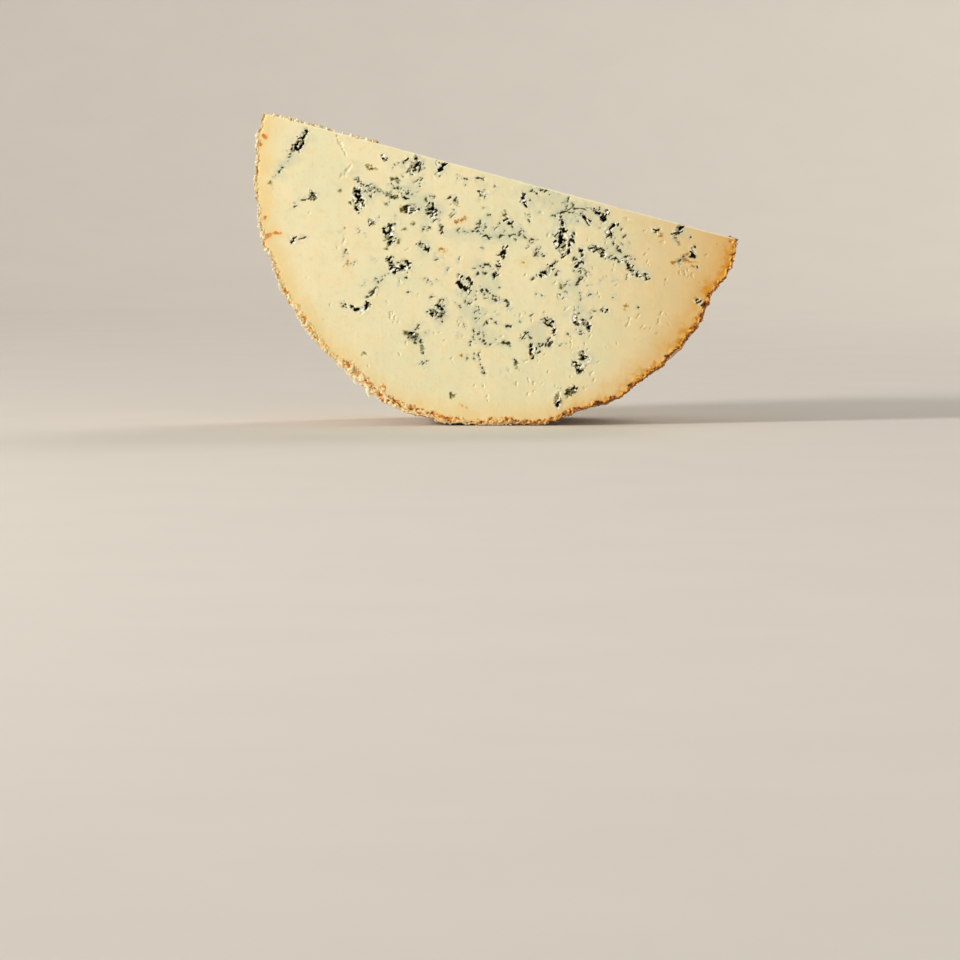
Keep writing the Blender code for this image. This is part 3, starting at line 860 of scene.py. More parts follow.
def wedgeMesh():
    # every point kept inside the solid's box, then every patch's faces turned to point outwards
    points = inBox(np.vstack(parts["points"]))
    centre = stoodUp(0.0, 42.0, 0.0)
    blocks = []
    for faces in parts["faces"]:
        a, b, c = points[faces[:, 0]], points[faces[:, 1]], points[faces[:, 2]]
        facing = np.einsum("ij,ij->", np.cross(b - a, c - a), (a + b + c) / 3 - centre)
        blocks.append(faces if facing > 0 else faces[:, ::-1])
    faces = np.vstack(blocks)
    mesh = bpy.data.meshes.new("blue_cheese_wedge")
    mesh.vertices.add(len(points))
    mesh.vertices.foreach_set("co", (points * mm).ravel())
    mesh.loops.add(3 * len(faces))
    mesh.loops.foreach_set("vertex_index", faces.ravel().astype(np.int32))
    mesh.polygons.add(len(faces))
    mesh.polygons.foreach_set("loop_start", np.arange(0, 3 * len(faces), 3, dtype=np.int32))
    mesh.polygons.foreach_set("material_index", np.concatenate(parts["slots"]).astype(np.int32))
    mesh.update(calc_edges=True)
    mesh.validate()
    values = np.vstack(parts["fields"])
    for number, name in enumerate(fieldNames):
        layer = mesh.attributes.new(name, "FLOAT", "POINT")
        layer.data.foreach_set("value", values[:, number].astype(np.float32))
    mesh.shade_smooth()
    mesh.set_sharp_from_angle(angle=math.radians(62))
    return mesh


bodyMesh = wedgeMesh()
print("wedge:", len(bodyMesh.polygons), "triangles, of its parts:", [len(faces) for faces in parts["faces"]])


# Materials

def tone(red, green, blue):
    # a colour as the eye names it, 0 to 255, turned into the shader's own numbers
    shares = [value / 255 for value in (red, green, blue)]
    return tuple(v / 12.92 if v <= 0.04045 else ((v + 0.055) / 1.055) ** 2.4 for v in shares) + (1.0,)


def putIn(tree, value, socket):
    # a number or another node's output put into a node's socket
    if isinstance(value, bpy.types.NodeSocket):
        tree.links.new(value, socket)
    else:
        socket.default_value = value


class Finish:
    # a material under construction: short ways to add its nodes
    def __init__(self, name):
        self.material = bpy.data.materials.new(name)
        self.material.use_nodes = True
        self.tree = self.material.node_tree
        self.shader = self.tree.nodes["Principled BSDF"]
        self.place = self.tree.nodes.new("ShaderNodeTexCoord").outputs["Object"]
        self.colour = None

    def join(self, value, socket):
        putIn(self.tree, value, socket)

    def axes(self):
        # the place's three numbers, in metres
        node = self.tree.nodes.new("ShaderNodeSeparateXYZ")
        self.join(self.place, node.inputs[0])
        return node.outputs

    def field(self, name):
        node = self.tree.nodes.new("ShaderNodeAttribute")
        node.attribute_name = name
        return node.outputs["Fac"]

    def calc(self, operation, first, second=0.0, clamp=False):
        node = self.tree.nodes.new("ShaderNodeMath")
        node.operation = operation
        node.use_clamp = clamp
        self.join(first, node.inputs[0])
        self.join(second, node.inputs[1])
        return node.outputs[0]

    def eased(self, value, low, high, bottom=0.0, top=1.0):
        node = self.tree.nodes.new("ShaderNodeMapRange")
        node.interpolation_type = "SMOOTHSTEP"
        for name, number in (("Value", value), ("From Min", low), ("From Max", high)):
            self.join(number, node.inputs[name])
        self.join(bottom, node.inputs["To Min"])
        self.join(top, node.inputs["To Max"])
        return node.outputs["Result"]

    def noise(self, size, detail=2.0, stretch=(1.0, 1.0, 1.0), rough=0.55, turn=(0.0, 0.0, 0.0)):
        # an uneven value from 0 to 1 with lumps this many mm wide, stretched along each axis
        mapping = self.tree.nodes.new("ShaderNodeMapping")
        mapping.inputs["Rotation"].default_value = turn
        mapping.inputs["Scale"].default_value = [1.0 / way for way in stretch]
        node = self.tree.nodes.new("ShaderNodeTexNoise")
        node.inputs["Scale"].default_value = 1.0 / (size * mm)
        node.inputs["Detail"].default_value = detail
        node.inputs["Roughness"].default_value = rough
        self.join(self.place, mapping.inputs["Vector"])
        self.join(mapping.outputs["Vector"], node.inputs["Vector"])
        return node.outputs["Fac"]

    def mix(self, share, first, second):
        node = self.tree.nodes.new("ShaderNodeMix")
        node.data_type = "RGBA"
        self.join(share, node.inputs[0])
        self.join(first, node.inputs[6])
        self.join(second, node.inputs[7])
        return node.outputs[2]

    def bump(self, height, depth, under=None):
        # raised and sunk by this many mm
        node = self.tree.nodes.new("ShaderNodeBump")
        node.inputs["Strength"].default_value = 1.0
        node.inputs["Distance"].default_value = depth * mm
        self.join(height, node.inputs["Height"])
        if under is not None:
            self.join(under, node.inputs["Normal"])
        return node.outputs["Normal"]

    def coat(self, share, tint):
        # this share of a tint over the colour so far
        self.colour = self.mix(share, self.colour, tint)

    def finished(self, inputs):
        # the material, with these numbers and nodes in its shader
        for name, value in inputs.items():
            self.join(value, self.shader.inputs[name])
        return self.material


pasteLook = {
    "cream": tone(241, 231, 189),
    "pale": tone(234, 229, 188),
    "peach": tone(246, 225, 178),
    "edge": tone(252, 246, 222),
    "ochre": tone(240, 208, 136),
    "ochreRight": tone(218, 150, 34),
    "stained": tone(238, 210, 140),
    # near-white curd: its own pale cream brightened into a painted highlight
    "paleCurdHighlight": tone(255, 252, 238),
    "tan": tone(222, 184, 114),
    "haze": tone(206, 208, 178),
    "mist": tone(194, 201, 182),
    "olive": tone(140, 128, 40),
    "orange": tone(170, 114, 24),
    "orangeDeep": tone(214, 122, 8),
    "greyGreen": tone(114, 116, 72),
    "oliveSpeck": tone(130, 118, 30),
    # near-black: partly the mould's own dark colour, partly painted shade in the deep holes
    "mould": tone(26, 28, 18),
    "mouldSpeck": tone(38, 38, 18),
    # pale cream crust, lightened as painted light for the lit left side
    "crustCreamLit": tone(254, 234, 184),
    "crustLine": tone(214, 126, 10),
    "crustGold": tone(240, 182, 76),
    "crustRust": tone(176, 92, 12),
    # brown crust darkened as painted shade for the side away from the lamp
    "crustBrownInShade": tone(96, 42, 4),
    "streak": tone(230, 209, 150),
}


def pasteMaterial():
    made = Finish("blue cheese paste")
    look = pasteLook
    rindDepth = made.field("rindDepth")
    across, back, height = made.axes()
    wide = made.noise(24.0, 2.0)
    patch = made.noise(8.0, 3.0)
    fine = made.noise(1.1, 3.0)
    tiny = made.noise(0.5, 2.0)
    made.colour = made.mix(made.eased(wide, 0.35, 0.65), look["cream"], look["pale"])
    made.coat(made.eased(patch, 0.45, 0.7, 0.0, 0.4), look["peach"])
    # faint near-vertical drag marks of the knife
    streak = made.noise(1.6, 2.0, stretch=(1.0, 1.0, 26.0), turn=(0.0, math.radians(4.0), 0.0))
    made.coat(made.eased(streak, 0.56, 0.8, 0.0, 0.16), look["streak"])
    mottle = made.noise(2.4, 4.0, rough=0.65)
    made.coat(made.eased(mottle, 0.5, 0.72, 0.0, 0.4), look["streak"])
    # the paste ripens to ochre towards the rind; it is also tan and more ochre towards the right
    ripe = made.calc("ADD", rindDepth, made.eased(patch, 0.25, 0.75, -1.8, 1.8))
    ripe = made.calc("ADD", ripe, made.eased(mottle, 0.3, 0.7, -1.9, 1.9))
    made.coat(made.eased(ripe, 0.5, 12.0, 0.7, 0.0), look["ochre"])
    made.coat(made.eased(across, 0.02, 0.1, 0.0, 0.8), look["tan"])
    rightShare = made.eased(across, 0.0, 0.075)
    closeBy = made.calc("ADD", made.eased(ripe, 0.0, 5.0, 0.65, 0.0), made.eased(ripe, 0.0, 16.0, 0.34, 0.0))
    made.coat(made.calc("MULTIPLY", closeBy, rightShare), look["ochreRight"])
    # blue-grey haze round the veins
    cloud = made.eased(patch, 0.3, 0.7, -1.8, 1.8)
    halo = made.calc("ADD", made.field("halo"), cloud)
    made.coat(made.eased(halo, -2.5, 2.0, 0.5, 0.0), look["haze"])
    pocket = made.field("pocket")
    jag = made.eased(fine, 0.25, 0.75, -0.7, 0.7)
    near = made.calc("ADD", pocket, jag)
    patchy = made.eased(patch, 0.35, 0.6, 0.35, 1.0)
    rim = made.calc("MULTIPLY", made.eased(near, -0.2, 1.4, 0.6, 0.0), patchy)
    made.coat(rim, look["haze"])
    # a pale ring round each pocket: painted highlight on its raised lip
    ring = made.calc("MULTIPLY", made.eased(near, -0.3, 0.1, 0.0, 0.5), made.eased(near, 0.1, 0.8, 1.0, 0.0))
    made.coat(ring, look["edge"])
    # olive and orange-brown flecks, darker in their middles
    olive = made.calc("ADD", made.field("olive"), jag)
    made.coat(made.eased(olive, -0.4, 0.6, 0.85, 0.0), look["olive"])
    made.coat(made.eased(olive, -0.7, -0.2, 0.85, 0.0), look["mouldSpeck"])
    orange = made.calc("ADD", made.field("orange"), jag)
    made.coat(made.eased(orange, 0.0, 2.6, 0.35, 0.0), look["stained"])
    orangeTone = made.mix(made.eased(rindDepth, 8.0, 20.0, 1.0, 0.0), look["orange"], look["orangeDeep"])
    made.coat(made.eased(orange, -0.7, 0.4, 0.98, 0.0), orangeTone)
    # specks of mould, grey-green or olive at their edges
    speck = made.calc("ADD", made.field("speck"), made.eased(tiny, 0.25, 0.75, -0.22, 0.22))
    kind = made.eased(made.noise(5.0, 2.0), 0.38, 0.52)
    edgeTone = made.mix(kind, look["greyGreen"], look["oliveSpeck"])
    made.coat(made.eased(speck, -1.5, 0.1, 0.0, 0.5), look["mist"])
    made.coat(made.eased(speck, 0.05, 0.34, 0.0, 0.85), edgeTone)
    made.coat(made.eased(speck, 0.38, 0.66, 0.0, 0.92), look["mouldSpeck"])
    # mould in the pockets, with a speckled rim; its near-black in the deepest holes is partly the mould's own
    # dark colour and partly painted shade
    dark = made.calc("ADD", made.field("dark"), made.eased(tiny, 0.25, 0.75, -0.25, 0.25))
    stain = made.calc("ADD", made.eased(pocket, -0.5, 0.7, 0.7, 0.0), made.eased(tiny, 0.3, 0.7, -0.4, 0.2))
    stainTone = made.mix(made.eased(made.noise(3.4, 2.0), 0.42, 0.55), look["greyGreen"], look["oliveSpeck"])
    made.coat(made.eased(stain, 0.2, 0.7, 0.0, 0.65), stainTone)
    made.coat(made.eased(dark, 0.3, 0.55, 0.0, 0.9), look["greyGreen"])
    made.coat(made.eased(dark, 0.5, 0.8), look["mould"])
    # uncovered curd between the holes, whitened as a painted highlight
    paleLitCurd = made.calc("ADD", made.field("dark"), made.eased(tiny, 0.3, 0.7, -0.15, 0.3))
    made.coat(made.eased(paleLitCurd, -0.5, -0.15, 0.9, 0.0), look["paleCurdHighlight"])
    # the crust in section: a strip of crumbs, cream and gold at the left, dark brown and gold at the right;
    # the left's cream is partly painted light and the right's dark brown partly painted shade
    strip = made.calc("ADD", made.field("strip"), made.eased(made.noise(1.3, 3.0), 0.25, 0.75, -0.3, 0.3))
    crumb = made.calc("ADD", made.field("crag"), made.eased(fine, 0.25, 0.75, -0.4, 0.4))
    # more orange low down, and paler high up
    crumb = made.calc("ADD", crumb, made.eased(height, 0.015, 0.045, -0.32, 0.0))
    crumb = made.calc("ADD", crumb, made.eased(height, 0.05, 0.09, 0.0, 0.5))
    litLeftShare = made.eased(across, -0.06, 0.05, 1.0, 0.0)
    litLeftTone = made.mix(made.eased(crumb, -1.0, -0.5), look["crustRust"], look["crustLine"])
    litLeftTone = made.mix(made.eased(crumb, -0.6, -0.2), litLeftTone, look["crustGold"])
    litLeftTone = made.mix(made.eased(crumb, -0.15, 0.25), litLeftTone, look["crustCreamLit"])
    shadedRightTone = made.mix(made.eased(crumb, -1.1, -0.6), look["crustBrownInShade"], look["crustLine"])
    shadedRightTone = made.mix(made.eased(crumb, -0.6, 0.1), shadedRightTone, look["crustGold"])
    stripTone = made.mix(litLeftShare, shadedRightTone, litLeftTone)
    # the outermost crumbs: cream at the left as painted light, dark brown at the right as painted shade
    outerLitLeftShadedRight = made.mix(litLeftShare, look["crustBrownInShade"], look["crustCreamLit"])
    stripTone = made.mix(made.eased(strip, 0.2, 0.5, 0.92, 0.0), stripTone, outerLitLeftShadedRight)
    # at the upper left the strip is broken into blotches
    low = made.eased(height, 0.03, 0.014)
    whole = made.calc("MAXIMUM", low, made.calc("MAXIMUM", rightShare, made.eased(strip, 0.3, 0.5, 1.0, 0.0)))
    whole = made.calc("MAXIMUM", whole, made.eased(made.noise(4.0, 2.0), 0.44, 0.56))
    share = made.calc("MULTIPLY", made.eased(strip, 0.75, 1.15, 1.0, 0.0), whole)
    made.coat(share, stripTone)
    # the straight cut's edge is pale
    turned = made.calc("MULTIPLY", height, math.cos(lean) / mm)
    turned = made.calc("ADD", turned, made.calc("MULTIPLY", across, math.sin(lean) / mm))
    under = made.calc("SUBTRACT", wedge["axisHeight"] * math.cos(lean), turned)
    beside = made.eased(made.calc("ABSOLUTE", back), 0.0316, 0.0326)
    worn = made.calc("MULTIPLY", made.eased(under, 0.2, 0.9, 0.75, 0.0), beside)
    made.coat(worn, look["edge"])
    rough = made.calc("ADD", made.eased(fine, 0.2, 0.8, 0.4, 0.56), made.eased(dark, 0.3, 0.7, 0.0, 0.15))
    grain = made.bump(mottle, 0.1)
    drag = made.bump(streak, 0.03, grain)
    ragged = made.calc("MULTIPLY", made.noise(0.9, 3.0, rough=0.7), made.eased(strip, 0.7, 1.2, 1.0, 0.0))
    return made.finished({
        "Base Color": made.colour, "Roughness": rough, "Specular IOR Level": 0.32,
        "Subsurface Weight": 0.1, "Subsurface Radius": (1.0, 0.6, 0.25), "Subsurface Scale": 1.2 * mm,
        "Normal": made.bump(ragged, 0.5, drag),
    })


rindLook = {
    "brown": tone(176, 122, 76),
    "deep": tone(122, 74, 40),
    "orange": tone(212, 158, 100),
    "bloom": tone(236, 223, 204),
    "pink": tone(224, 196, 166),
    "grey": tone(196, 184, 164),
}


def rindMaterial():
    made = Finish("blue cheese rind")
    look = rindLook
    crag = made.field("crag")
    patch = made.noise(14.0, 3.0)
    wrinkle = made.noise(1.7, 5.0, stretch=(6.0, 1.0, 6.0), rough=0.65)
    fine = made.noise(0.9, 4.0, rough=0.7)
    made.colour = made.mix(made.eased(patch, 0.35, 0.65), look["brown"], look["orange"])
    # powdery bloom on what stands out, thinner beside the cuts, broken by streaks that run round the rind
    beside = made.eased(made.calc("ABSOLUTE", made.axes()["Y"]), 0.027, 0.0325, 0.0, -0.35)
    bloom = made.calc("ADD", made.calc("MULTIPLY", crag, 0.3), made.calc("MULTIPLY", wrinkle, 1.5))
    bloom = made.calc("ADD", bloom, made.calc("MULTIPLY", made.calc("SUBTRACT", fine, 0.5), 1.2))
    bloom = made.calc("ADD", bloom, made.calc("ADD", made.calc("MULTIPLY", patch, 0.5), beside))
    made.coat(made.eased(bloom, 0.4, 0.95, 0.0, 0.85), look["pink"])
    pale = made.mix(made.eased(made.noise(6.0, 2.0), 0.45, 0.65), look["bloom"], look["grey"])
    made.coat(made.eased(bloom, 0.8, 1.35, 0.0, 0.9), pale)
    low = made.calc("ADD", crag, made.calc("MULTIPLY", made.calc("SUBTRACT", fine, 0.5), 0.5))
    made.coat(made.eased(low, -0.95, -0.2, 0.42, 0.0), look["deep"])
    return made.finished({
        "Base Color": made.colour, "Roughness": made.eased(fine, 0.2, 0.8, 0.78, 0.95),
        "Specular IOR Level": 0.2, "Normal": made.bump(fine, 0.4, made.bump(wrinkle, 0.7)),
    })


crumbLook = {
    "cream": tone(253, 234, 190),
    "orange": tone(228, 152, 48),
    "brown": tone(130, 66, 8),
    "rindPale": tone(230, 206, 168),
    "rindBrown": tone(172, 120, 74),
}


def crumbMaterial():
    made = Finish("crust crumbs")
    look = crumbLook
    axes = made.axes()
    # crumbs turn browner towards the right and paler at the left: partly their own tones, partly painted
    # shade on the side away from the lamp
    rightShare = made.eased(axes["X"], -0.08, 0.03, -0.1, 0.15)
    kind = made.calc("ADD", made.noise(1.8, 2.0), rightShare)
    fine = made.noise(0.4, 3.0)
    made.colour = made.mix(made.eased(kind, 0.48, 0.58), look["cream"], look["orange"])
    made.coat(made.eased(kind, 0.6, 0.68), look["brown"])
    # away from the cuts they take the rind's tones
    onRind = made.mix(made.eased(kind, 0.42, 0.56), look["rindPale"], look["rindBrown"])
    fromMiddle = made.calc("ABSOLUTE", axes["Y"])
    made.coat(made.eased(fromMiddle, 0.0285, 0.0315, 1.0, 0.0), onRind)
    return made.finished({
        "Base Color": made.colour, "Roughness": made.eased(fine, 0.2, 0.8, 0.65, 0.88),
        "Specular IOR Level": 0.3, "Normal": made.bump(fine, 0.15),
    })


for material in (pasteMaterial(), rindMaterial()):
    bodyMesh.materials.append(material)
dressed("blue_cheese_wedge", bodyMesh)

# Crumbs and flakes on the crust, spread over it by Geometry Nodes

def crumbTree(name, material):
    # crumbs on every face of the mesh that comes in: uneven lumps of chance size, turned by chance
    tree = bpy.data.node_groups.new(name, "GeometryNodeTree")
    socket = tree.interface.new_socket
    socket("Geometry", in_out="INPUT", socket_type="NodeSocketGeometry")
    starting = {"Density": 0.1, "Smallest": 0.3, "Largest": 1.0, "Stretch": 1.5, "Jag": 0.3}
    for label, value in starting.items():
        socket(label, in_out="INPUT", socket_type="NodeSocketFloat").default_value = value
    socket("Seed", in_out="INPUT", socket_type="NodeSocketInt").default_value = 1
    socket("Geometry", in_out="OUTPUT", socket_type="NodeSocketGeometry")
    given = tree.nodes.new("NodeGroupInput").outputs

    def add(kind, inputs, **settings):
        # a node with these settings, and with numbers or other nodes' outputs in its sockets
        node = tree.nodes.new(kind)
        for setting, value in settings.items():
            setattr(node, setting, value)
        for place, value in inputs.items():
            putIn(tree, value, node.inputs[place])
        return node.outputs

    def product(first, second):
        return add("ShaderNodeMath", {0: first, 1: second}, operation="MULTIPLY")[0]

    def chance(low, high, **others):
        # a number by chance for each crumb
        return add("FunctionNodeRandomValue", {2: low, 3: high, **others}, data_type="FLOAT")[1]

    share = add("GeometryNodeInputNamedAttribute", {"Name": "share"}, data_type="FLOAT")["Attribute"]
    points = add("GeometryNodeDistributePointsOnFaces", {
        "Mesh": given["Geometry"], "Density": product(given["Density"], share), "Seed": given["Seed"],
    })
    crumb = add("GeometryNodeMeshIcoSphere", {"Radius": 0.5 * mm, "Subdivisions": 1})
    size = chance(given["Smallest"], given["Largest"], Seed=given["Seed"])
    shape = add("ShaderNodeCombineXYZ", {
        "X": size, "Y": product(size, chance(0.8, given["Stretch"])), "Z": product(size, chance(0.3, 0.8)),
    })
    turn = add("FunctionNodeRandomValue", {0: (0.0,) * 3, 1: (2 * math.pi,) * 3}, data_type="FLOAT_VECTOR")
    placed = add("GeometryNodeInstanceOnPoints", {
        "Points": points["Points"], "Instance": crumb["Mesh"], "Rotation": turn[0], "Scale": shape[0],
    })
    real = add("GeometryNodeRealizeInstances", {0: placed[0]})
    # every corner of a crumb pushed a little its own way
    rough = add("ShaderNodeTexNoise", {"Scale": 1 / (0.45 * mm)})
    middle = add("ShaderNodeVectorMath", {0: rough["Color"], 1: (0.5,) * 3}, operation="SUBTRACT")
    push = add(
        "ShaderNodeVectorMath", {0: middle[0], "Scale": product(given["Jag"], 2 * mm)}, operation="SCALE",
    )
    moved = add("GeometryNodeSetPosition", {"Geometry": real[0], "Offset": push[0]})
    coated = add("GeometryNodeSetMaterial", {"Geometry": moved[0], "Material": material})
    add("NodeGroupOutput", {0: coated[0]})
    return tree


# Crumbs for each stretch of the crust: how many to a square metre, and their sizes in mm
crumbs = {
    "front_edge_crumbs": {
        "Density": 3.2e6, "Smallest": 0.2, "Largest": 1.0, "Stretch": 2.2, "Jag": 0.4, "Seed": 3,
    },
    "back_edge_crumbs": {
        "Density": 3.0e6, "Smallest": 0.2, "Largest": 1.0, "Stretch": 2.2, "Jag": 0.4, "Seed": 5,
    },
    "crust_crumbs": {
        "Density": 0.13e6, "Smallest": 0.3, "Largest": 1.2, "Stretch": 2.4, "Jag": 0.45, "Seed": 7,
    },
    "top_edge_crumbs": {
        "Density": 2.6e6, "Smallest": 0.4, "Largest": 1.8, "Stretch": 1.8, "Jag": 0.5, "Seed": 11,
    },
}
crumbPlaces = {
    "edgeRows": 4,  # of the crust's grid that the crumbs beside a cut lie on
    "lastRow": crust["rows"],
    "edgeSunk": 0.1,  # mm under the crust
    "crustSunk": 0.15,
    "thinly": 0.16,  # how thickly crumbs lie between the heaps on the straight cut
    "heaps": (  # each heap's middle along the straight cut, and its reach, in mm
        (-94.0, 1.2), (-88.5, 1.8), (-84.5, 1.2), (-77.0, 1.4), (-75.0, 1.0), (-58.5, 1.6), (-53.0, 1.3),
    ),
}


def spreadCrumbs(name, ground, tree):
    # the tree's crumbs over the ground mesh, as a plain mesh inside the solid's box
    holder = bpy.data.objects.new(name + "_ground", ground)
    bpy.context.scene.collection.objects.link(holder)
    modifier = holder.modifiers.new("crumbs", "NODES")
    modifier.node_group = tree
    for socket in tree.interface.items_tree:
        if socket.name in crumbs[name]:
            modifier[socket.identifier] = crumbs[name][socket.name]
    bpy.context.view_layer.update()
    mesh = bpy.data.meshes.new_from_object(holder.evaluated_get(bpy.context.evaluated_depsgraph_get()))
    bpy.data.objects.remove(holder)
    mesh.name = name
    points = np.zeros(3 * len(mesh.vertices), np.float32)
    mesh.vertices.foreach_get("co", points)
    kept = inBox(points.reshape(-1, 3), 1.0)
    mesh.vertices.foreach_set("co", kept.astype(np.float32).ravel())
    mesh.update()
    dressed(name, mesh)
    print(name + ":", len(mesh.polygons), "faces")


def ground(name, places, share, corners=(0, 1, 2, 3)):
    # a grid of places as a mesh that crumbs are spread over, with how thickly each place is covered
    numbers = np.arange(share.size).reshape(share.shape)
    quads = np.stack([numbers[:-1, :-1], numbers[:-1, 1:], numbers[1:, 1:], numbers[1:, :-1]], -1)
    quads = quads.reshape(-1, 4)[:, corners]
    mesh = bpy.data.meshes.new(name)
    mesh.from_pydata((places.reshape(-1, 3) * mm).tolist(), [], [tuple(quad) for quad in quads.tolist()])
    layer = mesh.attributes.new("share", "FLOAT", "POINT")
    layer.data.foreach_set("value", share.ravel().astype(np.float32))
    return mesh


def crustGround(name, firstRow, lastRow, sunk, share):
    # the stretch of the crust between two rows of its grid, sunk a little, with share(turn, depth)
    columns = slice(firstRow, lastRow + 1)
    turn, depth = np.meshgrid(turns, depths[columns], indexing="ij")
    radius = crustRadii[:, columns] - sunk
    places = stoodUp(radius * np.cos(turn), radius * np.sin(turn), depth)
    return ground(name, places, share(np.degrees(turn), depth))


mmPerDegree = 1.75  # round the rind


def edgeShare(turn, depth):
    # how thickly crumbs lie along the crust's edges: thin at the upper left, most low at the left, where
    # the crust is broken
    flat = np.stack([turn.ravel() * mmPerDegree, depth.ravel()], 1)
    patchy = eased(softNoise(flat, 7.0, 81, 2), -0.35, 0.5).reshape(turn.shape)
    low = eased(turn, 94, 101) * (1 - eased(turn, 112, 118))
    upperLeft = eased(turn, 138, 152)
    beside = eased(np.abs(depth), wedge["halfDepth"] - 2.4, wedge["halfDepth"] - 0.4)
    return (0.1 + 0.6 * patchy + 0.9 * low * patchy) * (1 - 0.6 * upperLeft) * (0.15 + 0.85 * beside)


def rindShare(turn, depth):
    # a few crumbs and flakes in patches on the crust between the cuts
    flat = np.stack([turn.ravel() * mmPerDegree, depth.ravel()], 1)
    return eased(softNoise(flat, 11.0, 82, 2), -0.1, 0.7).reshape(turn.shape)


def topGround():
    # the straight cut beside its front edge, near the left-hand corner, with crumbs here and there
    along, depth = np.meshgrid(np.arange(-96.0, -50.0, 0.5), np.arange(-32.6, -29.5, 0.5), indexing="ij")
    share = np.full(along.shape, crumbPlaces["thinly"])
    for middle, reach in crumbPlaces["heaps"]:
        share = np.maximum(share, 1 - eased(np.abs(along - middle), 0.4 * reach, reach))
    places = stoodUp(along, np.full(along.shape, -0.1), depth)
    return ground("top_left", places, share, (0, 3, 2, 1))


crumbTone = crumbMaterial()
crumbNodes = crumbTree("crumbs", crumbTone)
firstRow, nextRow = crumbPlaces["edgeRows"], crumbPlaces["lastRow"] - crumbPlaces["edgeRows"]
edgeSunk, crustSunk = crumbPlaces["edgeSunk"], crumbPlaces["crustSunk"]
for name, stretch in {
    "front_edge_crumbs": crustGround("front_edge", 0, firstRow, edgeSunk, edgeShare),
    "back_edge_crumbs": crustGround("back_edge", nextRow, crumbPlaces["lastRow"], edgeSunk, edgeShare),
    "crust_crumbs": crustGround("crust_middle", firstRow, nextRow, crustSunk, rindShare),
    "top_edge_crumbs": topGround(),
}.items():
    spreadCrumbs(name, stretch, crumbNodes)


# The photograph's own measures: the straight cut's middle in it, in pixels, and its pixels to a mm
photo = {"middle": (498.5, 175.0), "pixels": 2.47}


def seen(x, y):
    # a place in the photograph, in its pixels, as (along the straight cut, down from it) in mm
    across = (x - photo["middle"][0]) / photo["pixels"]
    down = (y - photo["middle"][1]) / photo["pixels"]
    return across * math.cos(lean) + down * math.sin(lean), down * math.cos(lean) - across * math.sin(lean)


def flakes(name, strokes, seed):
    # thin bent flakes and wisps of crust, each along a short path in mm, thinning towards its ends
    draw = np.random.default_rng(seed)
    points, faces = [], []
    sides, rings = 6, 7
    for path, width in strokes:
        path = np.array(path, float)
        share = np.linspace(0, len(path) - 1, rings)
        line = np.stack([np.interp(share, np.arange(len(path)), path[:, axis]) for axis in range(3)], 1)
        heading = np.gradient(line, axis=0)
        heading /= np.linalg.norm(heading, axis=1, keepdims=True)
        side = np.cross(heading, draw.normal(size=3))
        side /= np.linalg.norm(side, axis=1, keepdims=True)
        up = np.cross(heading, side)
        first = len(points)
        for k in range(rings):
            girth = 0.5 * width * (0.3 + 0.7 * math.sin(math.pi * (k + 0.6) / rings))
            for spoke in range(sides):
                angle = 2 * math.pi * spoke / sides
                reach = girth * draw.uniform(0.7, 1.3)
                points.append(line[k] + reach * (math.cos(angle) * side[k] + 0.5 * math.sin(angle) * up[k]))
        for k in range(rings - 1):
            for spoke in range(sides):
                one, two = first + k * sides + spoke, first + k * sides + (spoke + 1) % sides
                faces.append((one, two, two + sides, one + sides))
        faces.append(tuple(first + spoke for spoke in reversed(range(sides))))
        faces.append(tuple(first + (rings - 1) * sides + spoke for spoke in range(sides)))
    places = inBox(np.array(points)) * mm
    mesh = bpy.data.meshes.new(name)
    mesh.from_pydata(places.tolist(), [], faces)
    mesh.materials.append(crumbTone)
    dressed(name, mesh)
    print(name + ":", len(faces), "faces")


# Wisps that the photograph shows low at the left and at the right-hand tip: places in it, and width in mm
shownWisps = (
    (((364.0, 382.0), (367.6, 386.0), (367.0, 391.0), (369.0, 396.6)), 1.3),
    (((360.0, 378.0), (355.0, 377.0), (353.6, 381.0), (357.0, 384.0), (361.0, 384.0)), 1.6),
    (((381.0, 383.0), (383.8, 386.5), (382.6, 390.0), (380.4, 392.6)), 1.3),
    (((372.0, 386.0), (374.6, 390.0), (378.6, 393.6)), 1.1),
    (((384.0, 392.0), (386.0, 396.6), (391.0, 399.5)), 1.1),
    (((392.0, 400.0), (397.0, 403.6), (400.0, 407.0)), 1.0),
    (((330.0, 358.5), (331.6, 361.0), (334.0, 360.5)), 0.9),
    (((309.0, 338.5), (311.0, 340.8), (313.0, 342.0)), 0.9),
    (((728.5, 240.6), (732.0, 242.0), (735.0, 239.8), (737.6, 239.2)), 1.1),
    (((731.0, 243.0), (734.0, 244.0), (735.6, 242.0)), 0.8),
    (((733.0, 254.0), (733.8, 259.0), (731.6, 263.0)), 0.9),
    (((704.0, 320.0), (706.5, 322.6), (708.4, 320.5)), 0.9),
    (((713.0, 308.0), (715.6, 309.4), (716.4, 306.0)), 0.8),
    (((262.0, 113.5), (263.6, 112.4), (265.6, 113.6)), 0.8),
    (((253.8, 178.0), (251.8, 178.8), (253.2, 181.0)), 0.8),
    (((401.0, 406.0), (404.0, 409.5), (409.0, 411.0)), 1.1),
)


def shownPaths():
    # each one's first point is moved to lie just under the crust's edge
    found = []
    for path, width in shownWisps:
        flat = np.array([seen(x, y) for x, y in path])
        turn, radius = math.atan2(flat[0, 1], flat[0, 0]), math.hypot(*flat[0])
        outside = radius - np.interp(turn, turns, crustRadii[:, 0]) + 0.3
        if outside > 0:
            flat = flat - outside * flat[0] / radius
        backs = 0.12 * np.arange(len(flat)) + 0.15 - wedge["halfDepth"]
        found.append(([stoodUp(a, b, depth) for (a, b), depth in zip(flat, backs)], width))
    return found


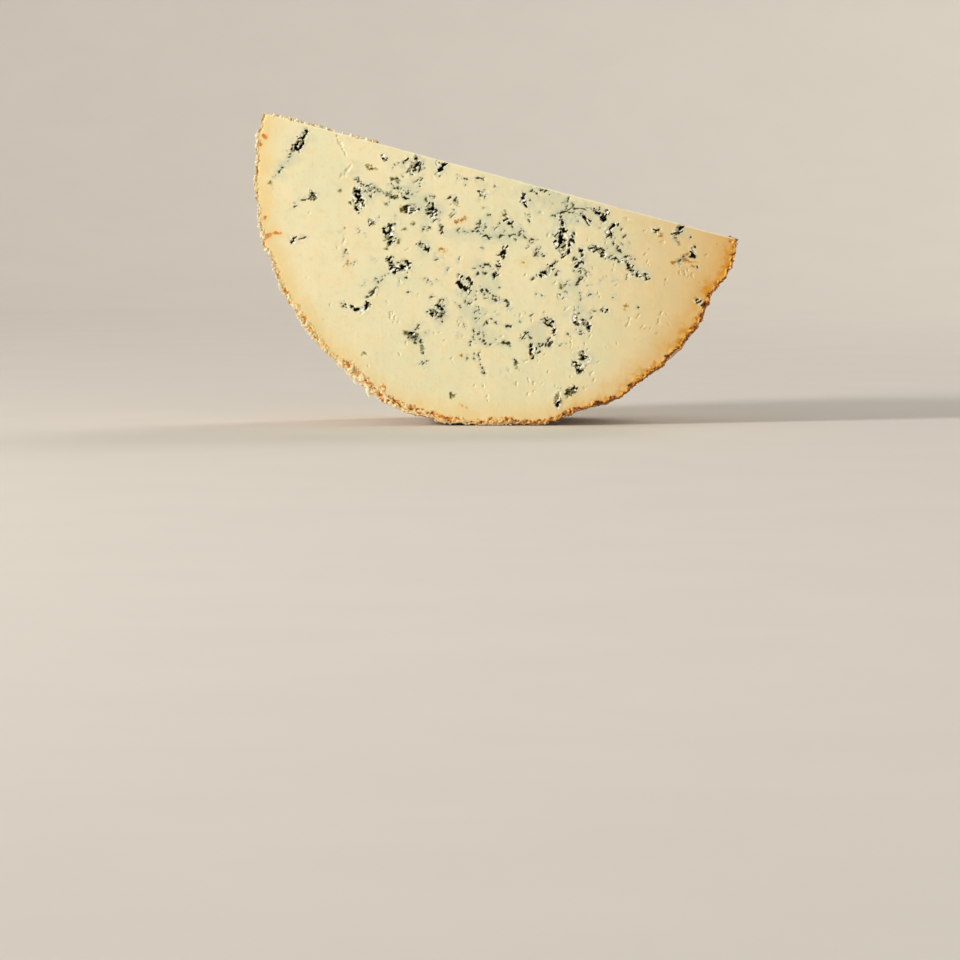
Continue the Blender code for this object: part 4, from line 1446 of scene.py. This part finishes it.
def edgeWisps(amount, side, seed):
    # small wisps by chance along the crust's edge beside a cut
    draw = np.random.default_rng(seed)
    row = 0 if side < 0 else -1
    found = []
    for _ in range(amount):
        turn = draw.uniform(0.05, math.pi - 0.05)
        radius = np.interp(turn, turns, crustRadii[:, row])
        path = []
        depth = side * (wedge["halfDepth"] - draw.uniform(0.6, 1.6))
        for _ in range(3):
            path.append(stoodUp(radius * math.cos(turn), radius * math.sin(turn), depth))
            turn += draw.uniform(-1.0, 1.0) * 0.012
            radius += draw.uniform(-0.35, 0.35)
            depth += side * draw.uniform(-0.5, 0.35)
        found.append((path, draw.uniform(0.4, 0.9)))
    return found


flakes("crust_wisps", shownPaths() + edgeWisps(90, -1, 41) + edgeWisps(90, 1, 42), 43)

# Floor, sweep, light and camera, in m
stage = {
    "width": 3.0, "front": -2.6, "back": 1.3, "bend": 0.9, "bendSteps": 16, "height": 2.2,
    "colour": tone(226, 220, 211), "dust": tone(218, 212, 203),
}
# Each lamp's place, width, power and colour
lamps = {
    "key": ((-1.75, -1.0, 0.76), 0.5, 40.0, (1.0, 0.96, 0.90)),
    "fill": ((0.9, -1.8, 0.7), 1.2, 3.0, (1.0, 0.96, 0.9)),
    "back": ((1.1, 2.0, 1.5), 1.4, 24.0, (1.0, 0.97, 0.93)),
}
light = {"aim": (0.0, 0.0, 0.06), "world": (1.0, 0.97, 0.92, 1.0), "worldStrength": 0.36}
view = {"lens": 168.75, "sensor": 36.0, "farEnd": 20.0, "place": (-0.0075, -1.853, 0.103), "down": 3.93}


def makeStage():
    # a pale sheet that lies as the floor and curves up behind
    profile = [(stage["front"], 0.0), (stage["back"], 0.0)]
    for step in range(1, stage["bendSteps"] + 1):
        angle = math.pi / 2 * step / stage["bendSteps"]
        rise = stage["bend"] * (1 - math.cos(angle))
        profile.append((stage["back"] + stage["bend"] * math.sin(angle), rise))
    profile.append((stage["back"] + stage["bend"], stage["height"]))
    points = [(side * stage["width"], y, z) for side in (-1, 1) for y, z in profile]
    count = len(profile)
    faces = [(i, i + count, i + count + 1, i + 1) for i in range(count - 1)]
    mesh = bpy.data.meshes.new("floor")
    mesh.from_pydata(points, [], faces)
    mesh.shade_smooth()
    made = Finish("pale floor")
    dusty = made.eased(made.noise(60.0, 3.0), 0.3, 0.7, 0.0, 0.25)
    mesh.materials.append(made.finished({
        "Base Color": made.mix(dusty, stage["colour"], stage["dust"]), "Roughness": 0.8,
    }))
    floor = bpy.data.objects.new("floor", mesh)
    bpy.context.scene.collection.objects.link(floor)


def softLamp(name, place, size, power, colour):
    lamp = bpy.data.lights.new(name, "AREA")
    lamp.shape = "DISK"
    lamp.size = size
    lamp.energy = power
    lamp.color = colour
    made = bpy.data.objects.new(name, lamp)
    made.location = place
    made.rotation_euler = (Vector(light["aim"]) - Vector(place)).to_track_quat("-Z", "Y").to_euler()
    bpy.context.scene.collection.objects.link(made)


def lightAndCamera():
    for name, measures in lamps.items():
        softLamp(name, *measures)
    world = bpy.data.worlds.new("studio")
    world.use_nodes = True
    world.node_tree.nodes["Background"].inputs["Color"].default_value = light["world"]
    world.node_tree.nodes["Background"].inputs["Strength"].default_value = light["worldStrength"]
    bpy.context.scene.world = world
    bpy.context.scene.view_settings.view_transform = "Standard"
    data = bpy.data.cameras.new("camera")
    data.lens = view["lens"]
    data.sensor_width = view["sensor"]
    data.clip_end = view["farEnd"]
    camera = bpy.data.objects.new("camera", data)
    camera.location = view["place"]
    camera.rotation_euler = (math.radians(90 - view["down"]), 0.0, 0.0)
    bpy.context.scene.collection.objects.link(camera)
    bpy.context.scene.camera = camera


makeStage()
lightAndCamera()
print("stage, lamps and camera")

bpy.context.view_layer.update()
